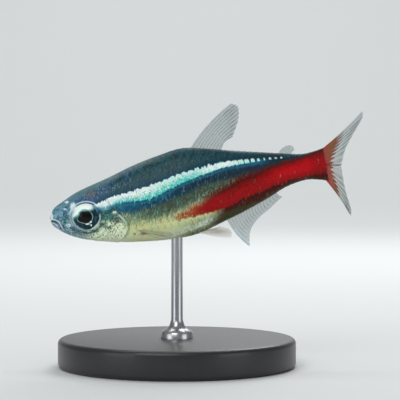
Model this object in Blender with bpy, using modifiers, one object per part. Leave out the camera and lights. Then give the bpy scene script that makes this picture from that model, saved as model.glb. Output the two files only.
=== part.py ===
"""A life-size neon tetra, swimming nose down, held by a plain display stand.

Sizes are in millimetres, and each mesh is scaled to metres when it is made. The fish is worked out in its
own frame: x runs back from the snout along the body's long axis, y to its right, z up. An empty holds that
frame over the stand, tipped to the fish's pitch. The fish faces -X and shows its left side to -Y.
"""

import math

import bmesh
import bpy
from mathutils import Vector

MM = 0.001
GAP = 0.3

# Place and pose of the fish over the stand
PITCH = math.radians(10.0)
SNOUT_PLACE = (-13.17, 0.0, 15.6)

# Distance behind the snout, height of the back, height of the belly, half width
BODY_STATIONS = (
    (-0.02, 0.12, -0.46, 0.22),
    (0.05, 0.40, -0.78, 0.42),
    (0.45, 0.98, -1.20, 0.78),
    (1.45, 1.50, -2.02, 1.26),
    (2.80, 2.12, -2.70, 1.64),
    (4.10, 2.52, -3.12, 1.86),
    (6.70, 3.18, -3.74, 2.10),
    (9.30, 3.94, -4.12, 2.22),
    (12.00, 4.50, -4.36, 2.20),
    (14.80, 4.84, -4.30, 2.04),
    (17.50, 4.32, -3.58, 1.76),
    (20.20, 3.62, -2.78, 1.42),
    (22.60, 3.06, -1.95, 1.14),
    (24.90, 2.53, -1.05, 0.92),
    (27.00, 2.08, -0.70, 0.72),
    (28.40, 2.12, -0.92, 0.56),
    (29.40, 2.30, -1.22, 0.42),
)
SNOUT_TIP = (-0.06, -0.16)
BACK_POWER = 1.85
BELLY_POWER = 2.25
RINGS_A_STATION = 4
RING_SIDES = 34

# The body bends a little away from its left side, from here to the tail
BEND_START = 12.0
BEND_REACH = 1.0

# Lips along the mouth, which fade out behind its corner, and the swell of the cheek and gill cover
LIP_END = 1.3
LIP_FADE = 0.4
LIP_SWELL = 0.09
LIP_REACH = 0.24
CHEEK_PLACE = (6.0, -1.7)
CHEEK_REACH = (1.7, 1.6)
CHEEK_SWELL = 0.14

# Thin cuts that part the body, as lines seen from the side
MOUTH_CUT = (
    (-1.2, -0.16),
    (-0.2, -0.26),
    (0.5, -0.48),
    (0.85, -1.05),
    (1.4, -1.55),
    (2.4, -2.05),
    (2.9, -2.5),
    (3.1, -3.8),
)
GILL_CUT = (
    (5.6, 4.6),
    (6.0, 1.9),
    (6.4, 0.2),
    (7.2, -0.7),
    (7.85, -1.7),
    (7.85, -2.5),
    (7.2, -3.3),
    (6.3, -3.9),
    (5.4, -5.0),
)
STALK_CUT = ((24.45, 4.0), (24.45, 1.0), (24.45, -3.0))
CUT_STEPS = 28
CUT_HALF_WIDTH = 4.0

# Eyes: a flattened ball with a domed pupil, turned a little forward
EYE_PLACE = (3.63, -0.41)
EYE_RADIUS = 1.58
EYE_HALF_DEPTH = 0.72
EYE_OUT = 1.22
EYE_TURN = math.radians(7.0)
PUPIL_RADIUS = 0.78
PUPIL_RISE = 0.12
PUPIL_FLATNESS = 4
EYE_STEPS = 12
EYE_SIDES = 26

NOSTRIL_PLACE = (1.72, 0.86)
NOSTRIL_RADIUS = 0.24
NOSTRIL_SIDES = 10
NOSTRIL_RINGS = 6

# Fins: membrane thickness, how far a ray stands out of it on each face, and a ray's half width. The margin
# thins by a share from a place on each ray's length, and a root starts this deep under the skin.
MEMBRANE = 0.5
RAY_RISE = 0.11
RAY_HALF_WIDTH = 0.2
MARGIN_START = 0.6
MARGIN_SHARE = 0.5
ROOT_DEPTH = 0.6
SLOPE_STEP = 0.01

# Stand
BASE_RADIUS = 12.5
BASE_HEIGHT = 3.0
BASE_BEVEL = 0.5
BASE_SIDES = 56
ROD_RADIUS = 0.6
COLLAR_RADIUS = 1.7
COLLAR_HEIGHT = 0.9
ROD_SIDES = 24

SEARCH_STEPS = 40
MERGE_REACH = 1e-6
SHARP_ANGLE = math.radians(40)

COLOURS = {
    "head": ((0.36, 0.42, 0.40), 0.32),
    "lower_jaw": ((0.48, 0.52, 0.55), 0.32),
    "trunk": ((0.30, 0.36, 0.34), 0.30),
    "tail_stalk": ((0.55, 0.04, 0.05), 0.30),
    "eye": ((0.03, 0.05, 0.06), 0.10),
    "fin": ((0.50, 0.56, 0.54), 0.35),
    "stand_base": ((0.03, 0.03, 0.03), 0.45),
    "stand_rod": ((0.55, 0.55, 0.56), 0.25),
}
METAL_PARTS = ("stand_rod",)


def clear_scene():
    for obj in list(bpy.data.objects):
        bpy.data.objects.remove(obj, do_unlink=True)


def new_collection(name):
    collection = bpy.data.collections.new(name)
    bpy.context.scene.collection.children.link(collection)
    return collection


def spline(points, share):
    """The point at a share, from 0 to 1, of a smooth curve through the points."""
    last = len(points) - 1
    place = min(max(share, 0.0), 1.0) * last
    i = min(int(place), last - 1)
    f = place - i
    around = (points[max(i - 1, 0)], points[i], points[i + 1], points[min(i + 2, last)])
    return tuple(
        0.5
        * (
            2 * b
            + (c - a) * f
            + (2 * a - 5 * b + 4 * c - d) * f * f
            + (3 * b - a - 3 * c + d) * f**3
        )
        for a, b, c, d in zip(*around)
    )


def blend(a, b, share):
    return a + (b - a) * share


def sideways(x):
    """How far the bent body's middle has moved to y at this distance behind the snout."""
    span = BODY_STATIONS[-1][0] - BEND_START
    return BEND_REACH * max(0.0, (x - BEND_START) / span) ** 2


def body_at(x):
    """Back, belly and half width at this distance behind the snout."""
    low, high = 0.0, 1.0
    for _ in range(SEARCH_STEPS):
        middle = (low + high) / 2
        if spline(BODY_STATIONS, middle)[0] < x:
            low = middle
        else:
            high = middle
    return spline(BODY_STATIONS, low)[1:]


def back_height(x):
    return body_at(x)[0]


def belly_height(x):
    return body_at(x)[1]


def flank_width(x, z):
    """Half width of the body's section at this height."""
    back, belly, half_width = body_at(x)
    middle = (back + belly) / 2
    power = BACK_POWER if z > middle else BELLY_POWER
    share = min(abs(z - middle) / (back - middle), 1.0)
    return half_width * (1 - share**power) ** (1 / power)


def keel_height(x, y):
    """Height of the belly's surface at this distance from the middle plane."""
    back, belly, half_width = body_at(x)
    middle = (back + belly) / 2
    share = min(abs(y) / half_width, 1.0)
    return middle - (middle - belly) * (1 - share**BELLY_POWER) ** (1 / BELLY_POWER)


def section_point(station, turn):
    """A point on the body's section, turned from the back by way of the left side."""
    x, back, belly, half_width = station
    middle = (back + belly) / 2
    across, up = -math.sin(turn), math.cos(turn)
    power = BACK_POWER if up > 0 else BELLY_POWER
    y = half_width * math.copysign(abs(across) ** (2 / power), across)
    reach = back - middle if up > 0 else middle - belly
    z = middle + reach * math.copysign(abs(up) ** (2 / power), up)
    return Vector((x, y, z))


def swell(point):
    """How far the lips and the cheek stand out of the plain section here."""
    amount = CHEEK_SWELL * math.exp(
        -(((point.x - CHEEK_PLACE[0]) / CHEEK_REACH[0]) ** 2)
        - ((point.z - CHEEK_PLACE[1]) / CHEEK_REACH[1]) ** 2
    )
    if point.x < LIP_END:
        line = (spline(MOUTH_CUT, i / CUT_STEPS) for i in range(CUT_STEPS + 1))
        away = min(math.dist((point.x, point.z), place) for place in line)
        fade = min(1.0, (LIP_END - point.x) / LIP_FADE)
        amount += LIP_SWELL * fade * math.exp(-((away / LIP_REACH) ** 2))
    return amount


def object_from(name, mesh, collection, pose=None):
    obj = bpy.data.objects.new(name, mesh)
    collection.objects.link(obj)
    obj.parent = pose
    return obj


def mesh_from(name, bm):
    """A mesh in metres from one made in millimetres, bent as the body is."""
    for vert in bm.verts:
        vert.co.y += sideways(vert.co.x)
    bmesh.ops.scale(bm, vec=(MM, MM, MM), verts=bm.verts)
    mesh = bpy.data.meshes.new(name)
    bm.to_mesh(mesh)
    bm.free()
    return mesh


def body_bmesh(grow=0.0):
    """The whole body as one closed loft. Its surface moves out by grow."""
    bm = bmesh.new()
    count = (len(BODY_STATIONS) - 1) * RINGS_A_STATION
    rings = []
    for i in range(count + 1):
        station = spline(BODY_STATIONS, i / count)
        points = (section_point(station, 2 * math.pi * k / RING_SIDES) for k in range(RING_SIDES))
        rings.append([bm.verts.new(point) for point in points])
    for ring, following in zip(rings, rings[1:]):
        for k in range(RING_SIDES):
            m = (k + 1) % RING_SIDES
            bm.faces.new((ring[k], ring[m], following[m], following[k]))
    tip = bm.verts.new((SNOUT_TIP[0], 0.0, SNOUT_TIP[1]))
    for k in range(RING_SIDES):
        bm.faces.new((tip, rings[0][(k + 1) % RING_SIDES], rings[0][k]))
    bm.faces.new(rings[-1])
    bmesh.ops.recalc_face_normals(bm, faces=bm.faces)
    bm.normal_update()
    moves = [(vert, vert.normal * (swell(vert.co) + grow)) for vert in bm.verts]
    for vert, move in moves:
        vert.co += move
    return bm


def thin_cut(name, line, cutters, pose):
    """A sheet of the gap's thickness across the body, along a line seen from the side."""
    bm = bmesh.new()
    points = [spline(line, i / CUT_STEPS) for i in range(CUT_STEPS + 1)]
    near = [bm.verts.new((x, -CUT_HALF_WIDTH, z)) for x, z in points]
    far = [bm.verts.new((x, CUT_HALF_WIDTH, z)) for x, z in points]
    for i in range(CUT_STEPS):
        bm.faces.new((near[i], near[i + 1], far[i + 1], far[i]))
    sheet = object_from(name, mesh_from(name, bm), cutters, pose)
    wall = sheet.modifiers.new("thickness", "SOLIDIFY")
    wall.thickness = GAP * MM
    wall.offset = 0.0
    return sheet


def eye_profile(grow):
    """Points from the middle of the pupil to the middle of the eye's back, as radius and depth."""
    points = []
    for i in range(EYE_STEPS + 1):
        turn = math.pi * i / EYE_STEPS
        radius = (EYE_RADIUS + grow) * math.sin(turn)
        depth = (EYE_HALF_DEPTH + grow) * math.cos(turn)
        if depth > 0:
            depth += PUPIL_RISE * max(0.0, 1 - (radius / PUPIL_RADIUS) ** PUPIL_FLATNESS)
        points.append((max(radius, 0.0), depth))
    points[0] = (0.0, points[0][1])
    points[-1] = (0.0, points[-1][1])
    return points


def eye_object(name, side, grow, collection, pose):
    """A turned eye on one side of the head, -1 for the left, and its socket where it is grown."""
    mesh = bpy.data.meshes.new(name)
    points = [(radius * MM, 0.0, depth * MM) for radius, depth in eye_profile(grow)]
    mesh.from_pydata(points, [(i, i + 1) for i in range(EYE_STEPS)], [])
    obj = object_from(name, mesh, collection, pose)
    turned = obj.modifiers.new("turned", "SCREW")
    turned.axis = "Z"
    turned.steps = turned.render_steps = EYE_SIDES
    turned.use_merge_vertices = True
    turned.merge_threshold = MERGE_REACH
    x, z = EYE_PLACE
    obj.location = (x * MM, side * EYE_OUT * MM, z * MM)
    obj.rotation_euler = (-side * math.pi / 2, 0.0, side * EYE_TURN)
    return obj


def nostril_cutter(name, side, cutters, pose):
    x, z = NOSTRIL_PLACE
    bpy.ops.mesh.primitive_uv_sphere_add(
        segments=NOSTRIL_SIDES, ring_count=NOSTRIL_RINGS, radius=NOSTRIL_RADIUS * MM
    )
    pit = bpy.context.object
    pit.name = name
    pit.location = (x * MM, side * flank_width(x, z) * MM, z * MM)
    pit.parent = pose
    for collection in list(pit.users_collection):
        collection.objects.unlink(pit)
    cutters.objects.link(pit)
    return pit


def applied_mesh(obj):
    """The object's mesh with its modifiers applied, in place of the one that it had."""
    graph = bpy.context.evaluated_depsgraph_get()
    mesh = bpy.data.meshes.new_from_object(obj.evaluated_get(graph))
    obj.modifiers.clear()
    obj.data = mesh


def boolean(obj, operation, other, solver="EXACT"):
    cut = obj.modifiers.new(operation.lower(), "BOOLEAN")
    cut.operation = operation
    cut.solver = solver
    if isinstance(other, bpy.types.Collection):
        cut.operand_type = "COLLECTION"
        cut.collection = other
    else:
        cut.object = other


def loose_parts(mesh):
    """The vertex indices of each closed surface in the mesh, largest first."""
    bm = bmesh.new()
    bm.from_mesh(mesh)
    bm.verts.ensure_lookup_table()
    seen, parts = set(), []
    for start in bm.verts:
        if start.index in seen:
            continue
        part, edge = {start.index}, [start]
        while edge:
            for link in edge.pop().link_edges:
                for vert in link.verts:
                    if vert.index not in part:
                        part.add(vert.index)
                        edge.append(vert)
        seen |= part
        parts.append(part)
    bm.free()
    return sorted(parts, key=len, reverse=True)


def part_of(mesh, keep, name):
    """A copy of the mesh with only these vertices."""
    bm = bmesh.new()
    bm.from_mesh(mesh)
    bm.verts.ensure_lookup_table()
    lost = [vert for vert in bm.verts if vert.index not in keep]
    bmesh.ops.delete(bm, geom=lost, context="VERTS")
    made = bpy.data.meshes.new(name)
    bm.to_mesh(made)
    bm.free()
    return made


def keep_largest(obj):
    applied_mesh(obj)
    obj.data = part_of(obj.data, loose_parts(obj.data)[0], obj.name)


def paint(obj, kind):
    colour, roughness = COLOURS[kind]
    material = bpy.data.materials.get(kind) or bpy.data.materials.new(kind)
    material.use_nodes = True
    shader = material.node_tree.nodes["Principled BSDF"]
    shader.inputs["Base Color"].default_value = (*colour, 1.0)
    shader.inputs["Roughness"].default_value = roughness
    shader.inputs["Metallic"].default_value = 1.0 if kind in METAL_PARTS else 0.0
    obj.data.materials.clear()
    obj.data.materials.append(material)
    obj.data.shade_smooth()
    obj.data.set_sharp_from_angle(angle=SHARP_ANGLE)


def build_body(parts, cutters, pose):
    """Head, lower jaw, trunk and tail stalk, cut from one loft."""
    thin_cut("cut_mouth", MOUTH_CUT, cutters, pose)
    thin_cut("cut_gill", GILL_CUT, cutters, pose)
    thin_cut("cut_stalk", STALK_CUT, cutters, pose)
    for side, word in ((-1, "left"), (1, "right")):
        eye_object("cut_socket_" + word, side, GAP, cutters, pose)
        nostril_cutter("cut_nostril_" + word, side, cutters, pose)
    for cutter in cutters.objects:
        applied_mesh(cutter)
    whole = object_from("whole_body", mesh_from("whole_body", body_bmesh()), parts, pose)
    boolean(whole, "DIFFERENCE", cutters)
    applied_mesh(whole)
    pieces = loose_parts(whole.data)[:4]
    places = [sum(whole.data.vertices[i].co.x for i in piece) / len(piece) for piece in pieces]
    ordered = [piece for _, piece in sorted(zip(places, pieces), key=lambda pair: pair[0])]
    for name, piece in zip(("lower_jaw", "head", "trunk", "tail_stalk"), ordered):
        obj = object_from(name, part_of(whole.data, piece, name), parts, pose)
        paint(obj, name)
    bpy.data.objects.remove(whole, do_unlink=True)


def build_eyes(parts, pose):
    for side, word in ((-1, "left"), (1, "right")):
        eye = eye_object("eye_" + word, side, 0.0, parts, pose)
        applied_mesh(eye)
        paint(eye, "eye")


def ray_columns(rays):
    """Places across a fin, as shares from its first ray to its last, and 1 at a ray's crest or 0 beside it."""
    columns = []
    for i in range(rays):
        centre = i / (rays - 1)
        reach = RAY_HALF_WIDTH / (rays - 1)
        for offset, crest in ((-reach, 0), (0.0, 1), (reach, 0)):
            if 0.0 <= centre + offset <= 1.0:
                columns.append((centre + offset, crest))
    return columns


def build_fin(name, surface, rays, rows, parts, pose, grown_body):
    """A closed blade about a middle surface, with a ridge for each ray on both faces. surface takes the
    share across the rays and the share from root to tip. Its root is cut back to the body."""
    bm = bmesh.new()
    columns = ray_columns(rays)
    front, back = [], []
    for across, crest in columns:
        front.append([])
        back.append([])
        for row in range(rows + 1):
            out = row / rows
            point = surface(across, out)
            nearer, farther = max(out - SLOPE_STEP, 0.0), min(out + SLOPE_STEP, 1.0)
            first, last = max(across - SLOPE_STEP, 0.0), min(across + SLOPE_STEP, 1.0)
            along_rays = surface(across, farther) - surface(across, nearer)
            over_rays = surface(last, out) - surface(first, out)
            face = over_rays.cross(along_rays).normalized()
            thin = 1.0 - MARGIN_SHARE * max(0.0, (out - MARGIN_START) / (1.0 - MARGIN_START))
            half = thin * (MEMBRANE / 2 + RAY_RISE * crest)
            front[-1].append(bm.verts.new(point + face * half))
            back[-1].append(bm.verts.new(point - face * half))
    for i in range(len(columns) - 1):
        for row in range(rows):
            for grid, order in ((front, 1), (back, -1)):
                a, b = grid[i][row], grid[i + 1][row]
                c, d = grid[i + 1][row + 1], grid[i][row + 1]
                bm.faces.new((a, b, c)[::order])
                bm.faces.new((a, c, d)[::order])
    corners = [(i, 0) for i in range(len(columns))]
    corners += [(len(columns) - 1, row) for row in range(1, rows + 1)]
    corners += [(i, rows) for i in range(len(columns) - 2, -1, -1)]
    corners += [(0, row) for row in range(rows - 1, 0, -1)]
    for (i, row), (k, other) in zip(corners, corners[1:] + corners[:1]):
        bm.faces.new((front[i][row], back[i][row], back[k][other]))
        bm.faces.new((front[i][row], back[k][other], front[k][other]))
    fin = object_from(name, mesh_from(name, bm), parts, pose)
    # The exact solver leaves nothing of the small pelvic fins
    boolean(fin, "DIFFERENCE", grown_body, "MANIFOLD")
    keep_largest(fin)
    paint(fin, "fin")
    return fin


def blade(root, edge, bow=0.0, sway=(0.0, 0.0)):
    """The middle surface of a fin between a root line and an edge line, each a list of points. Its rays bow
    towards the first ray, and its edge sways sideways by one amount at the first ray and one at the last."""

    def surface(across, out):
        start, end = Vector(spline(root, across)), Vector(spline(edge, across))
        ray = end - start
        lift = Vector((-ray.z, 0.0, ray.x)).normalized() if ray.x or ray.z else Vector()
        point = start + ray * out + lift * bow * 4 * out * (1 - out)
        point.y += blend(sway[0], sway[1], across) * out * out
        return point

    return surface


def build_middle_fins(parts, pose, grown_body):
    """The dorsal, adipose, caudal and anal fins, in the fish's middle plane."""
    dorsal_roots = [(x, 0.0, back_height(x) - ROOT_DEPTH) for x in (15.55, 16.6, 17.7, 18.8)]
    dorsal_edge = [(20.7, 0.0, 8.6), (21.35, 0.0, 8.1), (21.1, 0.0, 6.7), (20.2, 0.0, 5.1)]
    dorsal = blade(dorsal_roots, dorsal_edge, bow=0.32, sway=(0.15, 0.35))
    build_fin("dorsal_fin", dorsal, 11, 8, parts, pose, grown_body)

    adipose_roots = [(x, 0.0, back_height(x) - ROOT_DEPTH) for x in (24.8, 25.25, 25.75)]
    adipose_edge = [(25.2, 0.0, 3.05), (25.75, 0.0, 3.2), (26.25, 0.0, 3.05), (26.35, 0.0, 2.6)]
    build_fin("adipose_fin", blade(adipose_roots, adipose_edge, bow=0.08), 3, 5, parts, pose, grown_body)

    anal_roots = [(x, 0.0, belly_height(x) + ROOT_DEPTH) for x in (18.15, 20.1, 22.1, 23.9)]
    anal_edge = [
        (20.0, 0.0, -6.6),
        (20.35, 0.0, -5.0),
        (21.3, 0.0, -3.9),
        (22.7, 0.0, -3.05),
        (24.3, 0.0, -2.0),
    ]
    anal = blade(anal_roots, anal_edge, bow=-0.25, sway=(0.3, 0.1))
    build_fin("anal_fin", anal, 19, 7, parts, pose, grown_body)

    stalk_end = BODY_STATIONS[-1][0] - ROOT_DEPTH
    lobe_gap = GAP / 2
    upper_roots = [(stalk_end, 0.0, z) for z in (2.02, 1.35, 0.55 + lobe_gap)]
    upper_edge = [
        (34.4, 0.0, 5.45),
        (34.2, 0.0, 4.7),
        (33.0, 0.0, 3.3),
        (31.8, 0.0, 1.75),
        (31.1, 0.0, 0.2 + lobe_gap),
    ]
    upper = blade(upper_roots, upper_edge, bow=-0.12, sway=(1.3, 0.45))
    build_fin("caudal_fin_upper", upper, 10, 8, parts, pose, grown_body)
    lower_roots = [(stalk_end, 0.0, z) for z in (0.55 - lobe_gap, -0.25, -0.95)]
    lower_edge = [
        (31.05, 0.0, 0.2 - lobe_gap),
        (31.05, 0.0, -1.4),
        (31.15, 0.0, -3.0),
        (31.4, 0.0, -4.7),
        (31.3, 0.0, -5.4),
    ]
    lower = blade(lower_roots, lower_edge, bow=0.1, sway=(0.45, 2.4))
    build_fin("caudal_fin_lower", lower, 9, 8, parts, pose, grown_body)


def build_paired_fins(parts, pose, grown_body):
    """The pectoral and pelvic fins, swept back along the belly on both sides."""
    for side, word in ((-1, "left"), (1, "right")):
        roots = []
        for x, z in ((8.5, -2.8), (8.62, -3.02), (8.75, -3.25)):
            roots.append((x, side * (flank_width(x, z) - ROOT_DEPTH), z))
        edge = [
            (12.1, side * 4.2, -3.45),
            (12.4, side * 3.8, -3.75),
            (12.0, side * 3.2, -3.98),
            (11.0, side * 2.75, -4.05),
        ]
        pectoral = blade(roots, edge, bow=0.05)
        build_fin("pectoral_fin_" + word, pectoral, 9, 7, parts, pose, grown_body)

        roots = []
        for x, y in ((14.3, 0.85), (14.75, 0.68), (15.2, 0.5)):
            roots.append((x, side * y, keel_height(x, y) + ROOT_DEPTH))
        edge = [
            (18.2, side * 1.6, -5.25),
            (18.4, side * 1.25, -4.8),
            (18.1, side * 0.9, -4.35),
            (17.3, side * 0.6, -3.95),
        ]
        pelvic = blade(roots, edge, bow=-0.15)
        build_fin("pelvic_fin_" + word, pelvic, 8, 7, parts, pose, grown_body)


def build_stand(parts, grown_body):
    """A round base with a rod that stands in a collar and meets the belly."""
    bpy.ops.mesh.primitive_cylinder_add(
        vertices=BASE_SIDES,
        radius=BASE_RADIUS * MM,
        depth=BASE_HEIGHT * MM,
        location=(0.0, 0.0, BASE_HEIGHT * MM / 2),
    )
    base = bpy.context.object
    base.name = "stand_base"
    rounded = base.modifiers.new("rounded", "BEVEL")
    rounded.width = BASE_BEVEL * MM
    rounded.segments = 2
    rounded.limit_method = "ANGLE"
    paint(base, "stand_base")

    foot = BASE_HEIGHT + GAP
    top = SNOUT_PLACE[2]
    profile = [
        (0.0, top),
        (ROD_RADIUS, top),
        (ROD_RADIUS, foot + 2 * COLLAR_HEIGHT),
        (COLLAR_RADIUS * 0.62, foot + COLLAR_HEIGHT),
        (COLLAR_RADIUS, foot + 0.6 * COLLAR_HEIGHT),
        (COLLAR_RADIUS, foot),
        (0.0, foot),
    ]
    mesh = bpy.data.meshes.new("stand_rod")
    points = [(radius * MM, 0.0, height * MM) for radius, height in profile]
    mesh.from_pydata(points, [(i, i + 1) for i in range(len(profile) - 1)], [])
    rod = object_from("stand_rod", mesh, parts)
    turned = rod.modifiers.new("turned", "SCREW")
    turned.axis = "Z"
    turned.steps = turned.render_steps = ROD_SIDES
    turned.use_merge_vertices = True
    turned.merge_threshold = MERGE_REACH
    boolean(rod, "DIFFERENCE", grown_body)
    keep_largest(rod)
    paint(rod, "stand_rod")
    for collection in list(base.users_collection):
        collection.objects.unlink(base)
    parts.objects.link(base)


def main():
    clear_scene()
    parts = new_collection("neon_tetra")
    cutters = new_collection("cutters")
    helpers = new_collection("helpers")
    cutters.hide_render = helpers.hide_render = True
    pose = bpy.data.objects.new("fish_pose", None)
    parts.objects.link(pose)
    pose.location = [value * MM for value in SNOUT_PLACE]
    pose.rotation_euler = (0.0, -PITCH, 0.0)
    bpy.context.view_layer.update()

    grown_body = object_from("grown_body", mesh_from("grown_body", body_bmesh(GAP)), helpers, pose)
    build_body(parts, cutters, pose)
    build_eyes(parts, pose)
    build_middle_fins(parts, pose, grown_body)
    build_paired_fins(parts, pose, grown_body)
    build_stand(parts, grown_body)
    for helper in (*cutters.objects, *helpers.objects):
        helper.hide_render = True
        helper.display_type = "WIRE"


main()
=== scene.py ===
"""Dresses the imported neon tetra: skin, scales, eyes, fins and stand, with a stage to look at them on.

The fish is worked out in millimetres in its own frame: s runs back from the snout, y to its right and h up
from its long axis. to_world tips it to its pitch, moves it over the stand and turns millimetres to metres.
"""

import collections
import math
import random

import bpy
import numpy as np
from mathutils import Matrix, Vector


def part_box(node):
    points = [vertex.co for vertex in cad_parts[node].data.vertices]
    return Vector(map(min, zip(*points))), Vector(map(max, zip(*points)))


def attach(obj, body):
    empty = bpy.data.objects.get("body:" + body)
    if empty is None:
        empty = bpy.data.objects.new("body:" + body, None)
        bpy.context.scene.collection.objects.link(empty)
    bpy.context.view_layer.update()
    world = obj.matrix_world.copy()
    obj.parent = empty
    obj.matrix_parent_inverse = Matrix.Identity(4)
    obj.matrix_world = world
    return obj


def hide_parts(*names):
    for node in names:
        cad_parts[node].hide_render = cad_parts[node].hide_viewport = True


bl_info = {
    "name": "Neon Tetra Model",
    "version": (1, 0, 0),
    "blender": (4, 5, 0),
    "location": "3D View > Sidebar > Tetra",
    "description": "Models a neon tetra on a display stand, piece by piece",
    "category": "Add Mesh",
}

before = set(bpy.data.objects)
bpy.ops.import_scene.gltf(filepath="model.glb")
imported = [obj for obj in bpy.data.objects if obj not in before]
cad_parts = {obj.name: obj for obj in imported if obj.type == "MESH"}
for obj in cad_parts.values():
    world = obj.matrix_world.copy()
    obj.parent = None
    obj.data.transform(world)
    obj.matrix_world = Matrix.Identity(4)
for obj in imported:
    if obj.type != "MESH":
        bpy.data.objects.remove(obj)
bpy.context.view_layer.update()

MM = 0.001
BODY = "root"

# The solid fish's sizes, as in its source: distance behind the snout, back, belly and half width
BODY_STATIONS = (
    (-0.02, 0.12, -0.46, 0.22),
    (0.05, 0.40, -0.78, 0.42),
    (0.45, 0.98, -1.20, 0.78),
    (1.45, 1.50, -2.02, 1.26),
    (2.80, 2.12, -2.70, 1.64),
    (4.10, 2.52, -3.12, 1.86),
    (6.70, 3.18, -3.74, 2.10),
    (9.30, 3.94, -4.12, 2.22),
    (12.00, 4.50, -4.36, 2.20),
    (14.80, 4.84, -4.30, 2.04),
    (17.50, 4.32, -3.58, 1.76),
    (20.20, 3.62, -2.78, 1.42),
    (22.60, 3.06, -1.95, 1.14),
    (24.90, 2.53, -1.05, 0.92),
    (27.00, 2.08, -0.70, 0.72),
    (28.40, 2.12, -0.92, 0.56),
    (29.40, 2.30, -1.22, 0.42),
)
SNOUT_TIP = (-0.06, -0.16)
BACK_POWER = 1.85
BELLY_POWER = 2.25
BEND_START = 12.0
BEND_REACH = 1.0
TAIL_ROOT = BODY_STATIONS[-1][0]

# Lines seen from the side, as distance behind the snout and height
MOUTH_LINE = ((-0.2, -0.26), (0.2, -0.34), (0.55, -0.52), (0.82, -0.95), (1.0, -1.5))
GILL_LINE = (
    (5.4, -5.0), (6.3, -3.9), (7.2, -3.3), (7.85, -2.5), (7.85, -1.7),
    (7.2, -0.7), (6.4, 0.2), (6.0, 1.9), (5.6, 4.6),
)
CHEEK_LINE = ((5.5, 0.5), (5.95, -0.6), (5.8, -1.8), (5.0, -2.7), (3.9, -3.0), (2.6, -2.5))
EYE_PLACE = (3.7, -0.49)
EYE_REACH = (1.64, 1.47)
NOSTRIL_PLACE = (1.72, 0.86)
HEAD_END = 9.5

# The eye ball: its middle's distance from the middle plane, its half thickness, how far the lens pushes the
# cornea out, how far it faces forwards, and its glints' place and reach back and up
EYE_SIDE, EYE_DEPTH, LENS_BULGE, EYE_TURN = 1.31, 0.56, 0.1, math.radians(8)
GLINTS = (((0.14, -0.74), (0.3, 0.07)), ((0.5, -0.58), (0.14, 0.1)), ((0.46, -0.92), (0.07, 0.16)))

# Forms raised in the skin, or sunk in it where below 0: height and reach
LIPS, MOUTH_CLEFT, UPPER_LIP, CHIN = (0.14, 0.26), (-0.3, 0.07), (0.09, 0.16), (0.08, 0.3)
HEAD_GROOVE, CHEEK_FOLD, CHEEK_RIDGE = (-0.03, 0.08), (-0.045, 0.1), (0.03, 0.14)
GILL_COVER, GILL_GAP = (0.15, 1.0), (-0.1, 0.35)
EYE_SOCKET, EYE_RING = -0.4, (0.06, 0.06)
NOSTRIL_RIM, NOSTRIL_PIT = (0.035, 0.08), (-0.16, 0.14)

# Fine lines on the head: below the eye, behind the lips and on the gill cover
HEAD_LINES = (
    ((1.95, -1.35), (2.6, -2.1), (3.7, -2.45), (4.9, -2.05), (5.45, -1.2)),
    ((0.62, -0.5), (1.1, -0.95), (1.32, -1.65)),
    ((6.1, -1.37), (6.45, -2.04)),
    ((6.59, -1.26), (7.1, -1.08), (7.27, -1.6)),
    ((5.66, -1.91), (6.03, -2.5)),
)

# Edges of the markings seen from the side. The bright stripe's two cross where it ends.
LINES = {
    "stripe_top": (
        (4.9, 0.55), (5.9, 0.85), (7.1, 1.13), (8.9, 1.3), (10.1, 1.43), (11.8, 1.73), (13.9, 2.14),
        (16.4, 2.42), (18.9, 2.57), (20.8, 2.52), (22.1, 2.41), (23.7, 2.3), (24.9, 2.17), (25.2, 1.95),
    ),
    "stripe_bottom": (
        (4.9, 0.2), (5.9, -0.02), (6.9, 0.3), (8.6, 0.26), (9.8, 0.2), (11.6, 0.5), (13.7, 1.15),
        (16.2, 1.7), (18.8, 2.13), (20.7, 2.15), (22.1, 2.12), (23.7, 2.06), (24.9, 1.96), (25.2, 2.3),
    ),
    "navy_bottom": (
        (4.9, -0.5), (7.0, -0.7), (9.3, -0.9), (13.9, 0.05), (16.5, 0.75), (20.0, 1.0), (29.4, 1.9),
    ),
    "olive_bottom": (
        (4.9, -2.0), (9.3, -1.95), (12.0, -1.85), (13.9, -1.45), (16.5, -1.0), (20.0, -1.2), (25.0, -1.5),
    ),
    "red_top": (
        (12.6, -2.02), (12.95, -1.92), (14.3, -1.6), (15.7, -1.12), (17.2, -0.6), (18.6, -0.14),
        (20.1, 0.46), (21.5, 0.78), (23.0, 1.18), (24.3, 1.45), (25.7, 1.6), (27.1, 1.75), (29.4, 2.15),
    ),
    "red_bottom": (
        (12.6, -2.48), (15.5, -2.32), (16.9, -2.25), (18.3, -2.05), (19.75, -1.55), (21.2, -1.2),
        (22.6, -0.95), (24.0, -0.62), (25.4, -0.4), (26.8, -0.36), (28.2, -0.3), (29.4, -0.45),
    ),
}

# Broken silvery band along the lower belly
SILVER_LINE = ((11.2, -3.98), (12.2, -3.85), (13.8, -3.6), (15.25, -3.33), (16.8, -3.0), (18.2, -2.6))

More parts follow.
